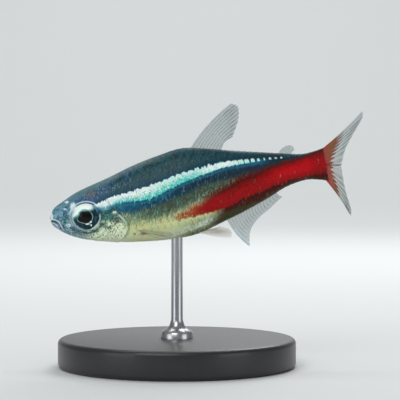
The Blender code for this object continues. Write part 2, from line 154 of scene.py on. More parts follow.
# Soft patches on the head and belly, by kind: place, and reach along and up
PATCHES = {
    # Silver patches of the head with painted highlights, the brightest above and in front of the eye
    "silver_and_highlight": (
        ((2.55, 0.8), (0.34, 0.5)), ((6.0, 0.46), (0.75, 0.22)), ((1.75, -1.05), (0.26, 0.2)),
        ((1.66, 0.72), (0.14, 0.12)), ((1.89, 1.39), (0.25, 0.14)), ((0.14, 0.2), (0.13, 0.4)),
    ),
    "cream": (
        ((6.75, -0.5), (0.24, 0.12)), ((5.95, -1.65), (0.3, 0.14)), ((6.9, -2.6), (0.7, 0.55)),
        ((5.6, -2.75), (0.8, 0.35)),
    ),
    "bronze": (((4.6, 1.72), (0.6, 0.4)), ((9.2, -3.25), (0.5, 0.16))),
    "dusk": (
        ((5.35, -0.45), (0.3, 0.6)), ((6.0, -0.38), (0.5, 0.25)), ((6.8, -1.38), (0.55, 0.36)),
        ((5.4, -1.6), (0.55, 0.4)), ((4.3, -2.08), (0.6, 0.2)), ((6.1, -1.95), (0.4, 0.25)),
        ((1.55, 0.2), (0.25, 0.42)), ((8.35, -3.1), (0.2, 0.16)),
    ),
    "lilac": (((0.45, -0.95), (0.42, 0.4)),),
    "brow": (((3.2, 1.4), (1.0, 0.24)), ((4.6, 1.15), (0.9, 0.3))),
    "amber": (((17.0, -2.25), (0.4, 0.14)),),
}

# Where the stripe's dots lie
DOTS = {"stripe_top": (0.05, -0.03), "stripe_bottom": (-0.05, 0.03)}
DOTS |= {"beads": (0.0, 0.06), "tail_gap": (0.35, 0.25)}

# Layers of colour over the cream ground, first to last: colour, strength, how ragged its edges are in mm, and
# where it fades in. Each entry names a field with its values for none and for full colour. A line's field is
# the height above that line, s and h are the place behind the snout and up, and the rest are patterns or
# patches, which run from 0 to 1.
LAYERS = (
    # Belly
    ("belly_warm", 0.8, 0.0, {"clouds": (0.42, 0.62)}),
    ("belly_pale_and_painted_light", 0.5, 0.0, {"hairs": (0.5, 0.64)}),
    # Painted light along the underside in front, where the body turns downwards
    ("belly_pale_and_painted_light", 0.6, 0.1, {"underside": (1.4, 0.3), "s": (13.0, 10.5)}),
    ("belly_shade", 0.75, 0.2, {"red_bottom": (0.0, -0.7), "s": (12.0, 15.5)}),
    ("belly_low", 0.8, 0.2, {"underside": (0.9, 0.15), "s": (12.0, 14.5)}),
    ("silver", 0.8, 0.0, {"silver": (0.25, 0.7), "flecks": (0.46, 0.57)}),
    ("silver", 0.8, 0.0, {"silver": (0.1, 0.8), "grain": (0.52, 0.6)}),
    ("dark", 0.6, 0.0, {"silver": (0.2, 0.8), "hairs": (0.42, 0.3)}),
    # Speckled flank over the belly
    ("olive", 0.7, 0.5, {"olive_bottom": (-0.6, 0.2), "hairs": (0.42, 0.56), "s": (4.5, 7.0)}),
    ("dark", 0.9, 0.6, {"olive_bottom": (-0.5, 0.55), "s": (5.5, 10.5)}),
    ("olive", 0.75, 0.0, {"olive_bottom": (-0.3, 0.3), "streaks": (0.5, 0.64), "s": (5.2, 7.2)}),
    ("haze", 0.8, 0.2, {"olive_bottom": (-0.8, 0.2), "hairs": (0.5, 0.6), "s": (12.5, 9.0)}),
    ("haze", 0.32, 0.2, {
        "olive_bottom": (-0.8, 0.2), "hairs": (0.53, 0.63), "s": (9.0, 12.5), "red_top": (3.0, 1.2)}),
    ("belly_pale_and_painted_light", 0.55, 0.2, {"red_top": (1.0, 0.15), "hairs": (0.51, 0.61), "s": (12.0, 15.0)}),
    ("red_front", 0.45, 0.3, {"red_top": (0.6, 0.0), "red_bottom": (-0.2, 0.2), "s": (12.5, 14.5)}),
    # Dark band below the stripe
    ("navy", 1.0, 0.45, {"navy_bottom": (-0.35, 0.35), "s": (4.6, 6.4)}),
    ("haze", 0.35, 0.2, {"navy_bottom": (-0.4, 0.1), "hairs": (0.57, 0.68), "s": (4.6, 6.6)}),
    ("slate", 0.85, 0.3, {"navy_bottom": (-0.35, 0.35), "s": (12.0, 15.0)}),
    ("plum", 0.4, 0.3, {"navy_bottom": (0.0, 0.5), "clouds": (0.5, 0.62), "s": (16.0, 19.0)}),
    ("maroon", 0.7, 0.3, {"red_top": (0.8, 0.2), "red_bottom": (0.0, 0.3), "s": (15.3, 17.2)}),
    ("maroon", 1.0, 0.6, {"red_bottom": (0.6, 0.1), "underside": (-0.3, 0.4), "s": (15.9, 18.2)}),
    ("belly_low", 0.8, 0.2, {"underside": (1.1, 0.5), "h": (-1.9, -2.5), "s": (16.2, 17.4)}),
    ("keel", 0.8, 0.2, {"red_bottom": (-0.2, -0.6), "hairs": (0.48, 0.58), "s": (16.0, 17.8)}),
    ("plum", 0.8, 0.25, {"red_top": (-0.1, 0.5), "stripe_bottom": (0.0, -0.3), "s": (20.0, 23.5)}),
    ("navy", 0.95, 0.25, {"stripe_bottom": (-0.95, -0.25), "s": (7.0, 11.0), "clouds": (0.62, 0.5)}),
    ("slate", 0.9, 0.25, {"stripe_bottom": (-0.95, -0.2), "s": (12.0, 15.0)}),
    ("plum", 0.6, 0.25, {"stripe_bottom": (-0.2, -0.4), "red_top": (0.2, 0.5), "s": (20.0, 23.5)}),
    ("fringe_low", 0.7, 0.35, {"stripe_bottom": (-0.9, -0.1), "flecks": (0.44, 0.54), "s": (14.0, 11.0)}),
    ("fringe_low", 0.85, 0.2, {"stripe_bottom": (-0.55, -0.15), "s": (24.0, 22.0)}),
    ("fringe_teal", 0.6, 0.3, {"stripe_bottom": (-0.5, -0.05), "grain": (0.5, 0.6), "s": (19.0, 15.0)}),
    ("haze_blue", 0.3, 0.1, {
        "navy_bottom": (-0.1, 0.3), "stripe_bottom": (-0.1, -0.4), "hairs": (0.53, 0.64), "s": (22.0, 16.0)}),
    # Back
    ("back", 1.0, 0.2, {"stripe_top": (-0.2, 0.1)}),
    ("back_dark", 0.55, 0.0, {"stripe_top": (0.0, 0.2), "streaks": (0.46, 0.6)}),
    ("back_blue", 0.35, 0.0, {"stripe_top": (0.0, 0.2), "clouds": (0.46, 0.6), "s": (15.0, 6.0)}),
    ("back_light", 0.5, 0.0, {"stripe_top": (0.2, 0.8), "hairs": (0.54, 0.66)}),
    # Painted rim light along the top edge of the back
    ("crown", 0.6, 0.25, {"crown": (0.8, 0.1), "s": (14.5, 10.0)}),
    ("fringe_top", 0.9, 0.1, {"stripe_top": (0.4, 0.1), "stripe_bottom": (-0.3, 0.0), "s": (22.5, 20.0)}),
    ("back_dark", 0.25, 0.15, {"stripe_top": (0.6, 0.15), "stripe_bottom": (0.0, 0.2), "s": (12.5, 16.5)}),
    ("slate", 0.5, 0.15, {"stripe_top": (0.6, 0.15), "stripe_bottom": (0.0, 0.2), "s": (18.0, 22.0)}),
    # Red band, darker along its top and at the tail fin's root
    ("red_front", 0.95, 0.45, {"red_top": (0.1, -0.15), "red_bottom": (-0.1, 0.15), "s": (12.4, 13.2)}),
    ("maroon", 0.9, 0.2, {"red_top": (0.25, -0.1), "red_bottom": (-0.1, 0.1), "s": (15.5, 18.0)}),
    ("red", 1.0, 0.25, {"red_top": (0.0, -0.5), "red_bottom": (-0.12, 0.15), "s": (13.8, 16.4)}),
    ("belly_warm", 0.55, 0.1, {
        "red_top": (0.1, -0.1), "red_bottom": (-0.1, 0.1), "grain": (0.5, 0.58), "s": (15.4, 13.4)}),
    ("maroon", 0.5, 0.2, {"red_top": (-1.3, -0.3), "stripe_bottom": (-0.9, -1.5), "s": (17.5, 20.0)}),
    ("red_rear", 1.0, 0.3, {"red_top": (-0.3, -0.95), "red_bottom": (0.2, 0.9), "s": (21.5, 25.5)}),
    ("red_rear", 0.35, 0.1, {
        "red_top": (-0.3, -0.9), "red_bottom": (0.1, 0.5), "hairs": (0.5, 0.4), "s": (15.5, 18.0)}),
    ("maroon", 0.6, 0.1, {
        "red_top": (0.1, -0.1), "red_bottom": (-0.1, 0.1), "hairs": (0.55, 0.65), "s": (28.0, 20.0)}),
    ("maroon", 0.4, 0.2, {"red_top": (0.4, 0.0), "s": (27.0, 28.8)}),
    ("amber", 0.9, 0.1, {"amber": (0.2, 0.8), "grain": (0.6, 0.46)}),
    # Stripe: turquoise below, white above, and from its middle on white right through
    ("stripe_low", 0.5, 0.4, {
        "stripe_bottom": (-0.4, 0.0), "grain": (0.56, 0.64), "stripe_top": (0.0, -0.2), "s": (19.0, 16.0)}),
    ("stripe_low", 0.6, 0.2, {"stripe_bottom": (-0.5, -0.1), "stripe_top": (0.0, -0.2), "s": (8.0, 5.8)}),
    ("stripe_low", 1.0, 0.35, {
        "stripe_top": (0.04, -0.05), "stripe_bottom": (-0.06, 0.07), "s": (20.8, 19.6)}),
    ("stripe_deep", 0.75, 0.1, {
        "stripe_top": (0.0, -0.3), "stripe_bottom": (0.0, 0.1), "grain": (0.5, 0.58), "s": (18.0, 16.0)}),
    ("stripe", 1.0, 0.25, {"stripe_top": (0.03, -0.06), "stripe_bottom": (0.22, 0.75), "s": (20.6, 19.4)}),
    ("stripe", 1.0, 0.2, {"stripe_top": (0.03, -0.06), "stripe_bottom": (0.05, 0.3), "s": (8.0, 6.2)}),
    ("stripe", 1.0, 0.1, {**DOTS, "s": (15.0, 17.5)}),
    # Pale grains that are partly painted glints of the stripe's sparkle
    ("stripe", 0.8, 0.2, {
        "stripe_top": (0.03, -0.06), "stripe_bottom": (-0.02, 0.1),
        "grain": (0.46, 0.38), "s": (20.6, 19.4)}),
    ("stripe_deep", 0.6, 0.1, {
        "stripe_top": (0.0, -0.12), "stripe_bottom": (0.0, 0.1), "hairs": (0.56, 0.64), "s": (21.0, 18.0)}),
    ("stripe_low", 0.85, 0.1, {
        "stripe_top": (-0.3, -0.5), "stripe_bottom": (-0.05, 0.05), "grain": (0.5, 0.57), "s": (8.5, 10.5)}),
    ("stripe_low", 0.35, 0.1, {
        "stripe_top": (0.03, -0.06), "stripe_bottom": (-0.02, 0.1),
        "red_top": (2.9, 3.3), "s": (10.0, 12.0)}),
    ("fringe_teal", 0.6, 0.3, {
        "stripe_bottom": (-0.1, 0.1), "stripe_top": (-0.25, -0.45),
        "grain": (0.55, 0.62), "s": (18.0, 15.0)}),
    # Lilac and warm flecks, partly painted glints of the stripe's sparkle
    ("stripe_lilac", 0.45, 0.1, {
        "stripe_top": (0.0, -0.1), "stripe_bottom": (0.1, 0.4),
        "flecks": (0.54, 0.64), "beads": (-0.05, 0.12)}),
    ("stripe_warm", 0.5, 0.1, {
        "stripe_top": (0.0, -0.12), "stripe_bottom": (0.1, 0.4),
        "flecks": (0.44, 0.36), "beads": (-0.05, 0.12)}),
    ("stripe_lilac", 0.85, 0.1, {**DOTS, "s": (22.3, 24.3)}),
    ("stripe_low", 0.45, 0.1, {**DOTS, "s": (19.4, 20.8)}),
    ("fringe_low", 0.45, 0.2, {"stripe_bottom": (0.3, 0.0), "navy_bottom": (-0.2, 0.2), "s": (10.0, 7.5)}),
    # Head
    ("cheek", 1.0, 0.3, {"s": (6.9, 5.6), "h": (0.1, -0.7), "stripe_bottom": (0.1, -0.2)}),
    # Painted light along the underside of the jaw and gill cover, where the head turns downwards
    ("cheek_pale_and_painted_light", 0.6, 0.1, {"underside": (1.3, 0.3), "s": (7.6, 6.6)}),
    ("snout", 1.0, 0.3, {"s": (3.7, 2.2)}),
    ("cheek_shade", 0.9, 0.3, {"s": (7.6, 6.4), "h": (-1.5, -1.1), "stripe_bottom": (0.0, -0.3)}),
    ("cheek_pale_and_painted_light", 0.95, 0.2, {"s": (8.0, 7.0), "h": (-1.0, -1.8), "flecks": (0.4, 0.52)}),
    ("haze_blue", 0.45, 0.2, {"stripe_bottom": (-0.5, -0.05), "stripe_top": (-0.1, -0.4), "s": (7.2, 5.2)}),
    ("snout", 0.7, 0.3, {"s": (4.4, 2.6), "h": (-0.8, -1.4)}),
    ("snout_pale", 0.42, 0.1, {"s": (3.4, 1.8), "flecks": (0.46, 0.6)}),
    ("snout_lilac", 0.55, 0.1, {"s": (3.6, 1.6), "flecks": (0.45, 0.35)}),
    ("brow", 0.8, 0.3, {"brow": (0.15, 0.8), "grain": (0.66, 0.54)}),
    ("haze", 0.45, 0.1, {
        "s": (7.9, 7.2), "h": (0.1, -0.3), "grain": (0.55, 0.63), "stripe_bottom": (0.0, -0.2)}),
    ("haze_blue", 0.6, 0.1, {"stripe_top": (0.3, 0.8), "hairs": (0.53, 0.62), "s": (11.0, 5.0)}),
    ("haze_blue", 0.6, 0.1, {"stripe_top": (0.5, 0.8), "grain": (0.5, 0.6), "s": (7.0, 4.0)}),
    ("back_light", 0.6, 0.25, {"crown": (1.1, 0.4), "s": (7.0, 5.0)}),
    ("bronze", 0.75, 0.35, {"bronze": (0.1, 1.0), "grain": (0.36, 0.52)}),
    ("dusk", 0.65, 0.3, {"dusk": (0.2, 0.8), "clouds": (0.34, 0.46)}),
    ("dusk", 0.7, 0.35, {"dusk": (0.1, 0.9), "grain": (0.46, 0.56)}),
    ("fringe_teal", 0.6, 0.2, {"dusk": (0.1, 0.8), "hairs": (0.52, 0.6), "h": (-0.9, -0.5)}),
    # Silver patches with painted highlights, brightest above and in front of the eye
    ("silver_and_highlight", 0.9, 0.3, {"silver_and_highlight": (0.1, 0.8), "grain": (0.62, 0.5)}),
    ("silver_and_highlight", 1.0, 0.2, {"silver_and_highlight": (0.4, 0.8)}),
    ("cheek_pale_and_painted_light", 0.95, 0.3, {"cream": (0.1, 0.7), "grain": (0.7, 0.56)}),
    ("snout_pale", 0.4, 0.0, {"s": (2.6, 1.2), "grain": (0.46, 0.38)}),
    ("lilac", 0.9, 0.15, {"lilac": (0.15, 0.7)}),
    # Dots of dark pigment, painted shade in creases and painted highlights on raised rims
    ("specks_and_shade", 0.35, 0.0, {"s": (3.2, 2.0), "grain": (0.58, 0.65)}),
    ("specks_and_shade", 0.85, 0.1, {
        "dots": (0.37, 0.28), "s": (8.0, 7.2), "h": (-3.6, -2.8), "stripe_bottom": (-0.1, -0.3)}),
    ("cheek_shade", 0.6, 0.0, {"orbit": (0.1, 0.8)}),
    ("specks_and_shade", 0.9, 0.0, {"orbit": (0.25, 0.7), "grain": (0.5, 0.55)}),
    ("specks_and_shade", 0.5, 0.0, {"dots": (0.3, 0.18), "h": (-3.3, -1.8), "stripe_bottom": (0.0, -0.3)}),
    ("specks_and_shade", 0.45, 0.0, {"dots": (0.34, 0.2), "stripe_top": (0.2, 0.5)}),
    ("specks_and_shade", 0.35, 0.0, {"rim": (0.6, 1.0), "stripe_top": (0.1, 0.5)}),
    ("specks_and_shade", 0.22, 0.0, {"rim": (0.6, 1.0), "stripe_bottom": (0.0, -0.2), "h": (-4.2, -2.4)}),
    # Painted shade in the creases of the head
    ("specks_and_shade", 0.85, 0.0, {"crease_shade": (0.1, 0.9)}),
    # Painted highlights on the raised rims of the head
    ("rim_highlight", 0.85, 0.0, {"rim_highlight": (0.2, 0.8)}),
)

# Scale columns: the first one's place, the pitch there and at the tail, and its change for each mm. The coat
# starts a little behind the first.
FIRST_COLUMN = 5.2
COLUMN_PITCH = (0.8, 0.54)
COLUMN_SLOPE = (COLUMN_PITCH[1] - COLUMN_PITCH[0]) / (TAIL_ROOT - FIRST_COLUMN)
COAT_START = 6.3
ROWS, COLUMNS = range(-9, 10), range(40)

# The section by whose shape the rows are spread round the body
MID_BODY = 12.0

# A scale's length and half width as shares of its column's and row's pitch, and its size on the coat's map.
# Its free edge is rounded and raised, its root narrower and sunk, and its sides bend down.
SCALE_LENGTH, SCALE_HALF_WIDTH, SCALE_PATCH = 1.62, 0.66, 0.003
SCALE_ROUND, SCALE_ROOT, SCALE_RISE, SCALE_SINK, SCALE_DROP = 0.34, 0.72, 0.06, 0.035, 0.02

# The skin's rings: their spacing on the head, and what is added behind it and taken off at the lips. Then its
# two poles.
RING_SPACING, BODY_SPACING, LIP_SPACING = 0.045, 0.075, 0.03
SKIN_POLES = (SNOUT_TIP[0], 0.0, SNOUT_TIP[1]), (TAIL_ROOT + 0.05, 0.0, 0.55)

# The stripe behind the snout, as from, to and the values there: its edge bulges more, its gaps widen, each in
# its own measure, and its dots shrink
EDGE_BULGE = (8.0, 15.0, -0.05, -0.14)
DOT_GAP, DOT_UNEVEN, DOT_SHRINK = (19.0, 22.6, -0.1, 0.82), (19.0, 22.6, 0.0, 0.15), (19.0, 24.9, 0.0, 0.24)

# A fin's root and edge, how far its rays bow, how far its first and last ray sway sideways, how many rays it
# has, how often they fork, and its finish
Fin = collections.namedtuple("Fin", "root edge bow sway rays forks finish")
ROOT_DEPTH = 0.25

# Clear tissues: colour, how much they cover and how rough they are. Then each finish's membrane and rays.
TISSUES = {
    "fin_membrane": ("membrane", 0.26, 0.45),
    "fin_rays": ("ray", 0.14, 0.4),
    "clear_fin_membrane": ("fin_clear", 0.1, 0.35),
    "clear_fin_rays": ("fin_clear", 0.16, 0.3),
    "fleshy_fin": ("crown", 0.3, 0.4),
    "tail_base_flesh": ("tail_base", 0.72, 0.4),
    "dusky_ray": ("bronze", 0.3, 0.4),
}
FINISHES = {
    "middle": ("fin_membrane", "fin_rays"),
    "paired": ("clear_fin_membrane", "clear_fin_rays"),
    "fleshy": ("fleshy_fin", None),
}

# Where the tail fin starts, and where the brown and the red of its root fade out
TAIL_START, BROWN_END, RED_END = (28.0, 28.6), (31.3, 29.4), (30.2, 29.1)

# The rod above the base's top: height and radius, from its foot in the base to the bare rod
ROD_FOOT = ((-0.2, 1.7), (0.55, 1.7), (0.75, 1.564), (0.95, 1.19), (1.3, 0.81), (1.9, 0.624), (2.3, 0.6))
ROD_IN_BELLY = 0.55

# Soft boxes: place, target, size, power as a share of the key light's, and colour
FISH_CENTRE = (2.42 * MM, 0.0, 17.5 * MM)
LIGHTS = {
    "key": ((-0.1, -0.26, 0.25), FISH_CENTRE, 0.22, 1.0, (1.0, 0.98, 0.95)),
    "fill": ((-0.28, -0.2, 0.05), FISH_CENTRE, 0.2, 0.45, (0.95, 0.97, 1.0)),
    "side_fill": ((0.3, -0.2, 0.05), FISH_CENTRE, 0.2, 0.45, (0.95, 0.97, 1.0)),
    "rim": ((0.06, 0.2, 0.2), FISH_CENTRE, 0.14, 0.5, (1.0, 1.0, 1.0)),
    "backdrop": ((0.0, 0.3, 0.7), (0.0, 1.0, 0.1), 0.6, 8.5, (1.0, 1.0, 1.0)),
}


def linear(hex_colour):
    """An sRGB hex colour as linear red, green and blue."""
    channels = [int(hex_colour[i : i + 2], 16) / 255 for i in (1, 3, 5)]
    return tuple(c / 12.92 if c <= 0.04045 else ((c + 0.055) / 1.055) ** 2.4 for c in channels)


def colour_property(name, description, hex_colour):
    return bpy.props.FloatVectorProperty(
        name=name, description=description, subtype="COLOR", size=3, min=0, max=1, default=linear(hex_colour)
    )


def length_property(name, description, millimetres):
    return bpy.props.FloatProperty(
        name=name, description=description, unit="LENGTH", precision=5, default=millimetres * MM
    )


class TetraSizes(bpy.types.PropertyGroup):
    pitch: bpy.props.FloatProperty(
        name="Pitch", description="How far the nose points down", subtype="ANGLE", default=math.radians(10)
    )
    snout: bpy.props.FloatVectorProperty(
        name="Snout",
        description="Place of the snout's tip over the stand",
        subtype="TRANSLATION",
        unit="LENGTH",
        default=(-13.17 * MM, 0.0, 15.6 * MM),
    )
    skin_rings: bpy.props.IntProperty(name="Skin rings", description="Rings from snout to tail", default=340)
    skin_sides: bpy.props.IntProperty(name="Skin sides", description="Faces round the body", default=200)
    scale_row: length_property("Scale row", "Height of one row of scales at the deepest section", 0.78)
    scale_thickness: length_property("Scale thickness", "Thickness of one scale", 0.02)
    membrane: length_property("Membrane", "Thickness of a fin between its rays", 0.05)
    ray: length_property("Ray", "Radius of a fin ray at its root", 0.058)
    pupil: length_property("Pupil", "Radius of the pupil", 0.69)


class TetraColours(bpy.types.PropertyGroup):
    back: colour_property("Back", "Slate of the back", "#1f4b54")
    back_dark: colour_property("Back, dark", "Dark upright blotches of the back", "#14262c")
    back_blue: colour_property("Back, blue", "Bluish cast of the nape", "#2a5080")
    # Painted rim light along the top of the back, and the adipose fin's own colour
    crown: colour_property("Crown", "Paler ridge along the back", "#758c8c")
    back_light: colour_property("Back, light", "Pale hairs of the back", "#4d7578")
    navy: colour_property("Navy", "Dark band below the stripe", "#08455b")
    slate: colour_property("Slate", "Dark band below the stripe's rear half", "#192c38")
    plum: colour_property("Plum", "Purple cast beside the stripe", "#2a2d46")
    olive: colour_property("Olive", "Speckled grey green of the flank", "#54806c")
    haze: colour_property("Haze", "Silvery green hairs of guanine", "#98cbae")
    dark: colour_property("Flank, dark", "Dark streaks of the flank", "#142a2c")
    belly: colour_property("Belly", "Cream of the belly", "#d8e6ac")
    # Also painted light along the lower edge of the body in front
    belly_pale_and_painted_light: colour_property("Belly, light", "Pale golden hairs of the belly", "#eaf4ca")
    silver: colour_property("Belly, silver", "Silvery patches along the belly's edge", "#e2ece4")
    belly_warm: colour_property("Belly, warm", "Warmer clouds of the belly", "#e2de98")
    belly_shade: colour_property("Belly, shade", "Greener lower belly", "#708c66")
    belly_low: colour_property("Belly, edge", "Dull green edge of the rear belly", "#3c4c2e")
    stripe: colour_property("Stripe", "White upper part of the stripe", "#f1fffb")
    stripe_low: colour_property("Stripe, low", "Turquoise lower part of the stripe", "#54dccb")
    stripe_deep: colour_property("Stripe, deep", "Deeper turquoise flecks in the stripe", "#23a79c")
    # Its flecks are partly painted glints of the stripe's sparkle; its dots near the tail are their own
    # colour
    stripe_lilac: colour_property("Stripe, lilac", "Lilac flecks in the stripe", "#cfd2f4")
    stripe_warm: colour_property("Stripe, warm", "Warm flecks in the stripe", "#f4f2d6")
    fringe_top: colour_property("Fringe, top", "Deep blue above the stripe", "#0b3c60")
    fringe_teal: colour_property("Fringe, teal", "Teal clouds below the stripe", "#2f8a96")
    fringe_low: colour_property("Fringe, low", "Blue below the stripe", "#22708f")
    red: colour_property("Red", "Red band", "#a0070c")
    red_front: colour_property("Red, front", "Orange brown where the red band starts", "#a83a16")
    red_rear: colour_property("Red, rear", "Bright red of the tail stalk", "#c40a18")
    maroon: colour_property("Maroon", "Dark strip below the red band", "#480a08")
    keel: colour_property("Keel", "Olive brown streaks along the edge over the anal fin", "#4a3410")
    amber: colour_property("Amber", "Orange spot between the red band and the belly", "#c87c30")
    haze_blue: colour_property("Haze, blue", "Pale blue hairs of the nape", "#7f9cc0")
    snout: colour_property("Snout", "Bluish silver of the snout and the lips", "#4b829c")
    snout_pale: colour_property("Snout, pale", "Pale silver flecks of the snout", "#a6d6e6")
    snout_lilac: colour_property("Snout, lilac", "Violet shades of the snout", "#44568f")
    brow: colour_property("Brow", "Dark blue over the eye", "#2a5488")
    lilac: colour_property("Lips", "Pale lilac of the lips", "#98aace")
    cheek: colour_property("Cheek", "Silvery green of the cheek", "#bfe6b8")
    cheek_shade: colour_property("Cheek, dark", "Darker clouds of the gill cover", "#2f6a6c")
    # Also painted light along the lower edge of the head
    cheek_pale_and_painted_light: colour_property("Cheek, light", "Pale cream of the lower gill cover", "#f0fcda")
    bronze: colour_property("Bronze", "Brown patch on the nape", "#6f665c")
    dusk: colour_property("Dusk", "Dusky patches of the head", "#123a44")
    # Also painted highlights on the head, above and in front of the eye
    silver_and_highlight: colour_property("Gleam", "Silver patches of the head and belly", "#e2f4f4")
    # Painted highlights on the raised rims of the lips, head lines, gill covers and eye ring
    rim_highlight: colour_property("Rims", "Pale rims of the gill covers and lips", "#cfdfe6")
    # Also the painted shade in the head's creases
    specks_and_shade: colour_property("Specks", "Dark pigment dots", "#0f181b")
    ray: colour_property("Rays", "Fin rays", "#647c79")
    membrane: colour_property("Membrane", "Fin membrane", "#4f7474")
    fin_clear: colour_property("Paired fins", "Clear pectoral and pelvic fins", "#b5ad92")
    tail_base: colour_property("Tail base", "Orange brown of the tail fin's root", "#8f480a")
    iris: colour_property("Iris", "Dark teal of the lower iris", "#0d2b33")
    iris_teal: colour_property("Iris, teal", "Teal zone of the iris", "#1f5a60")
    iris_cyan: colour_property("Iris, cyan", "Cyan zone under the white", "#6cc0b4")
    iris_white: colour_property("Iris, white", "White of the upper iris", "#f3fffc")
    iris_ring: colour_property("Iris, ring", "Silver ring round the eye", "#b4cdd6")
    pupil: colour_property("Pupil", "Black of the pupil", "#030405")


class TetraStage(bpy.types.PropertyGroup):
    lens: bpy.props.FloatProperty(
        name="Lens", description="Focal length", subtype="DISTANCE_CAMERA", default=150.0
    )
    distance: length_property("Distance", "From the camera to the fish", 175.0)
    elevation: bpy.props.FloatProperty(
        name="Elevation", description="How far it looks down", subtype="ANGLE", default=math.radians(1.5)
    )
    key_power: bpy.props.FloatProperty(
        name="Key light", description="Power of the main light", unit="POWER", default=0.5
    )


def spline_at(points, share):
    """Points at these shares, from 0 to 1, of a smooth curve through the points."""
    knots = np.array(points, float)
    place = np.clip(np.asarray(share, float), 0, 1) * (len(knots) - 1)
    i = np.minimum(place.astype(int), len(knots) - 2)
    f = (place - i)[..., None]
    a, b = knots[np.maximum(i - 1, 0)], knots[i]
    c, d = knots[i + 1], knots[np.minimum(i + 2, len(knots) - 1)]
    return 0.5 * (
        2 * b + (c - a) * f + (2 * a - 5 * b + 4 * c - d) * f**2 + (3 * b - a - 3 * c + d) * f**3
    )


FIELDS = (*PATCHES, "silver", "crown", "underside", "orbit", "rim", "crease_shade", "rim_highlight")
STATIONS = spline_at(BODY_STATIONS, np.linspace(0, 1, 4000))
GILL_CURVE = spline_at(GILL_LINE, np.linspace(0, 1, 400))


def fade(value, none, full):
    """A smooth change from 0 where the value is none to 1 where it is full."""
    share = np.clip((value - none) / (full - none), 0, 1)
    return share * share * (3 - 2 * share)


def bump(distance, reach):
    return np.exp(-((distance / reach) ** 2))


def spot(along, up, place, reach):
    """A soft spot, 1 at its place, that fades over its reach along and up."""
    return np.exp(-(((along - place[0]) / reach[0]) ** 2 + ((up - place[1]) / reach[1]) ** 2))


def form(distance, size):
    """A form of this height and reach, at each distance from its middle."""
    return size[0] * bump(distance, size[1])


def body_at(s):
    """Back, belly and half width at these distances behind the snout."""
    return [np.interp(s, STATIONS[:, 0], STATIONS[:, k]) for k in (1, 2, 3)]


def gill_edge(h):
    """Distance behind the snout of the gill cover's edge at these heights."""
    return np.interp(h, GILL_CURVE[:, 1], GILL_CURVE[:, 0])


def sideways(s):
    return BEND_REACH * np.maximum(0, (s - BEND_START) / (TAIL_ROOT - BEND_START)) ** 2


def section(s, turn):
    """Points of the plain body, turned from the back by way of the left side."""
    back, belly, width = body_at(s)
    middle = (back + belly) / 2
    across, up = -np.sin(turn), np.cos(turn)
    power = np.where(up > 0, BACK_POWER, BELLY_POWER)
    y = width * np.sign(across) * np.abs(across) ** (2 / power)
    h = middle + (back - middle) * np.sign(up) * np.abs(up) ** (2 / power)
    return np.column_stack((s, y, h))


def section_normal(s, turn):
    over = section(s, turn + 0.01) - section(s, turn - 0.01)
    along = section(s + 0.03, turn) - section(s - 0.03, turn)
    normal = np.cross(over, along)
    return normal / np.maximum(np.linalg.norm(normal, axis=1, keepdims=True), 1e-9)


def line_distance(s, h, line, samples=60):
    """Distance from each place to the line, and the share of the line where it is nearest."""
    points = spline_at(line, np.linspace(0, 1, samples))
    apart = np.hypot(s[:, None] - points[:, 0], h[:, None] - points[:, 1])
    return apart.min(axis=1), apart.argmin(axis=1) / (samples - 1)


def eye_distance(s, h):
    """Distance from the eye's middle, 1 on its outline."""
    return np.hypot((s - EYE_PLACE[0]) / EYE_REACH[0], (h - EYE_PLACE[1]) / EYE_REACH[1])


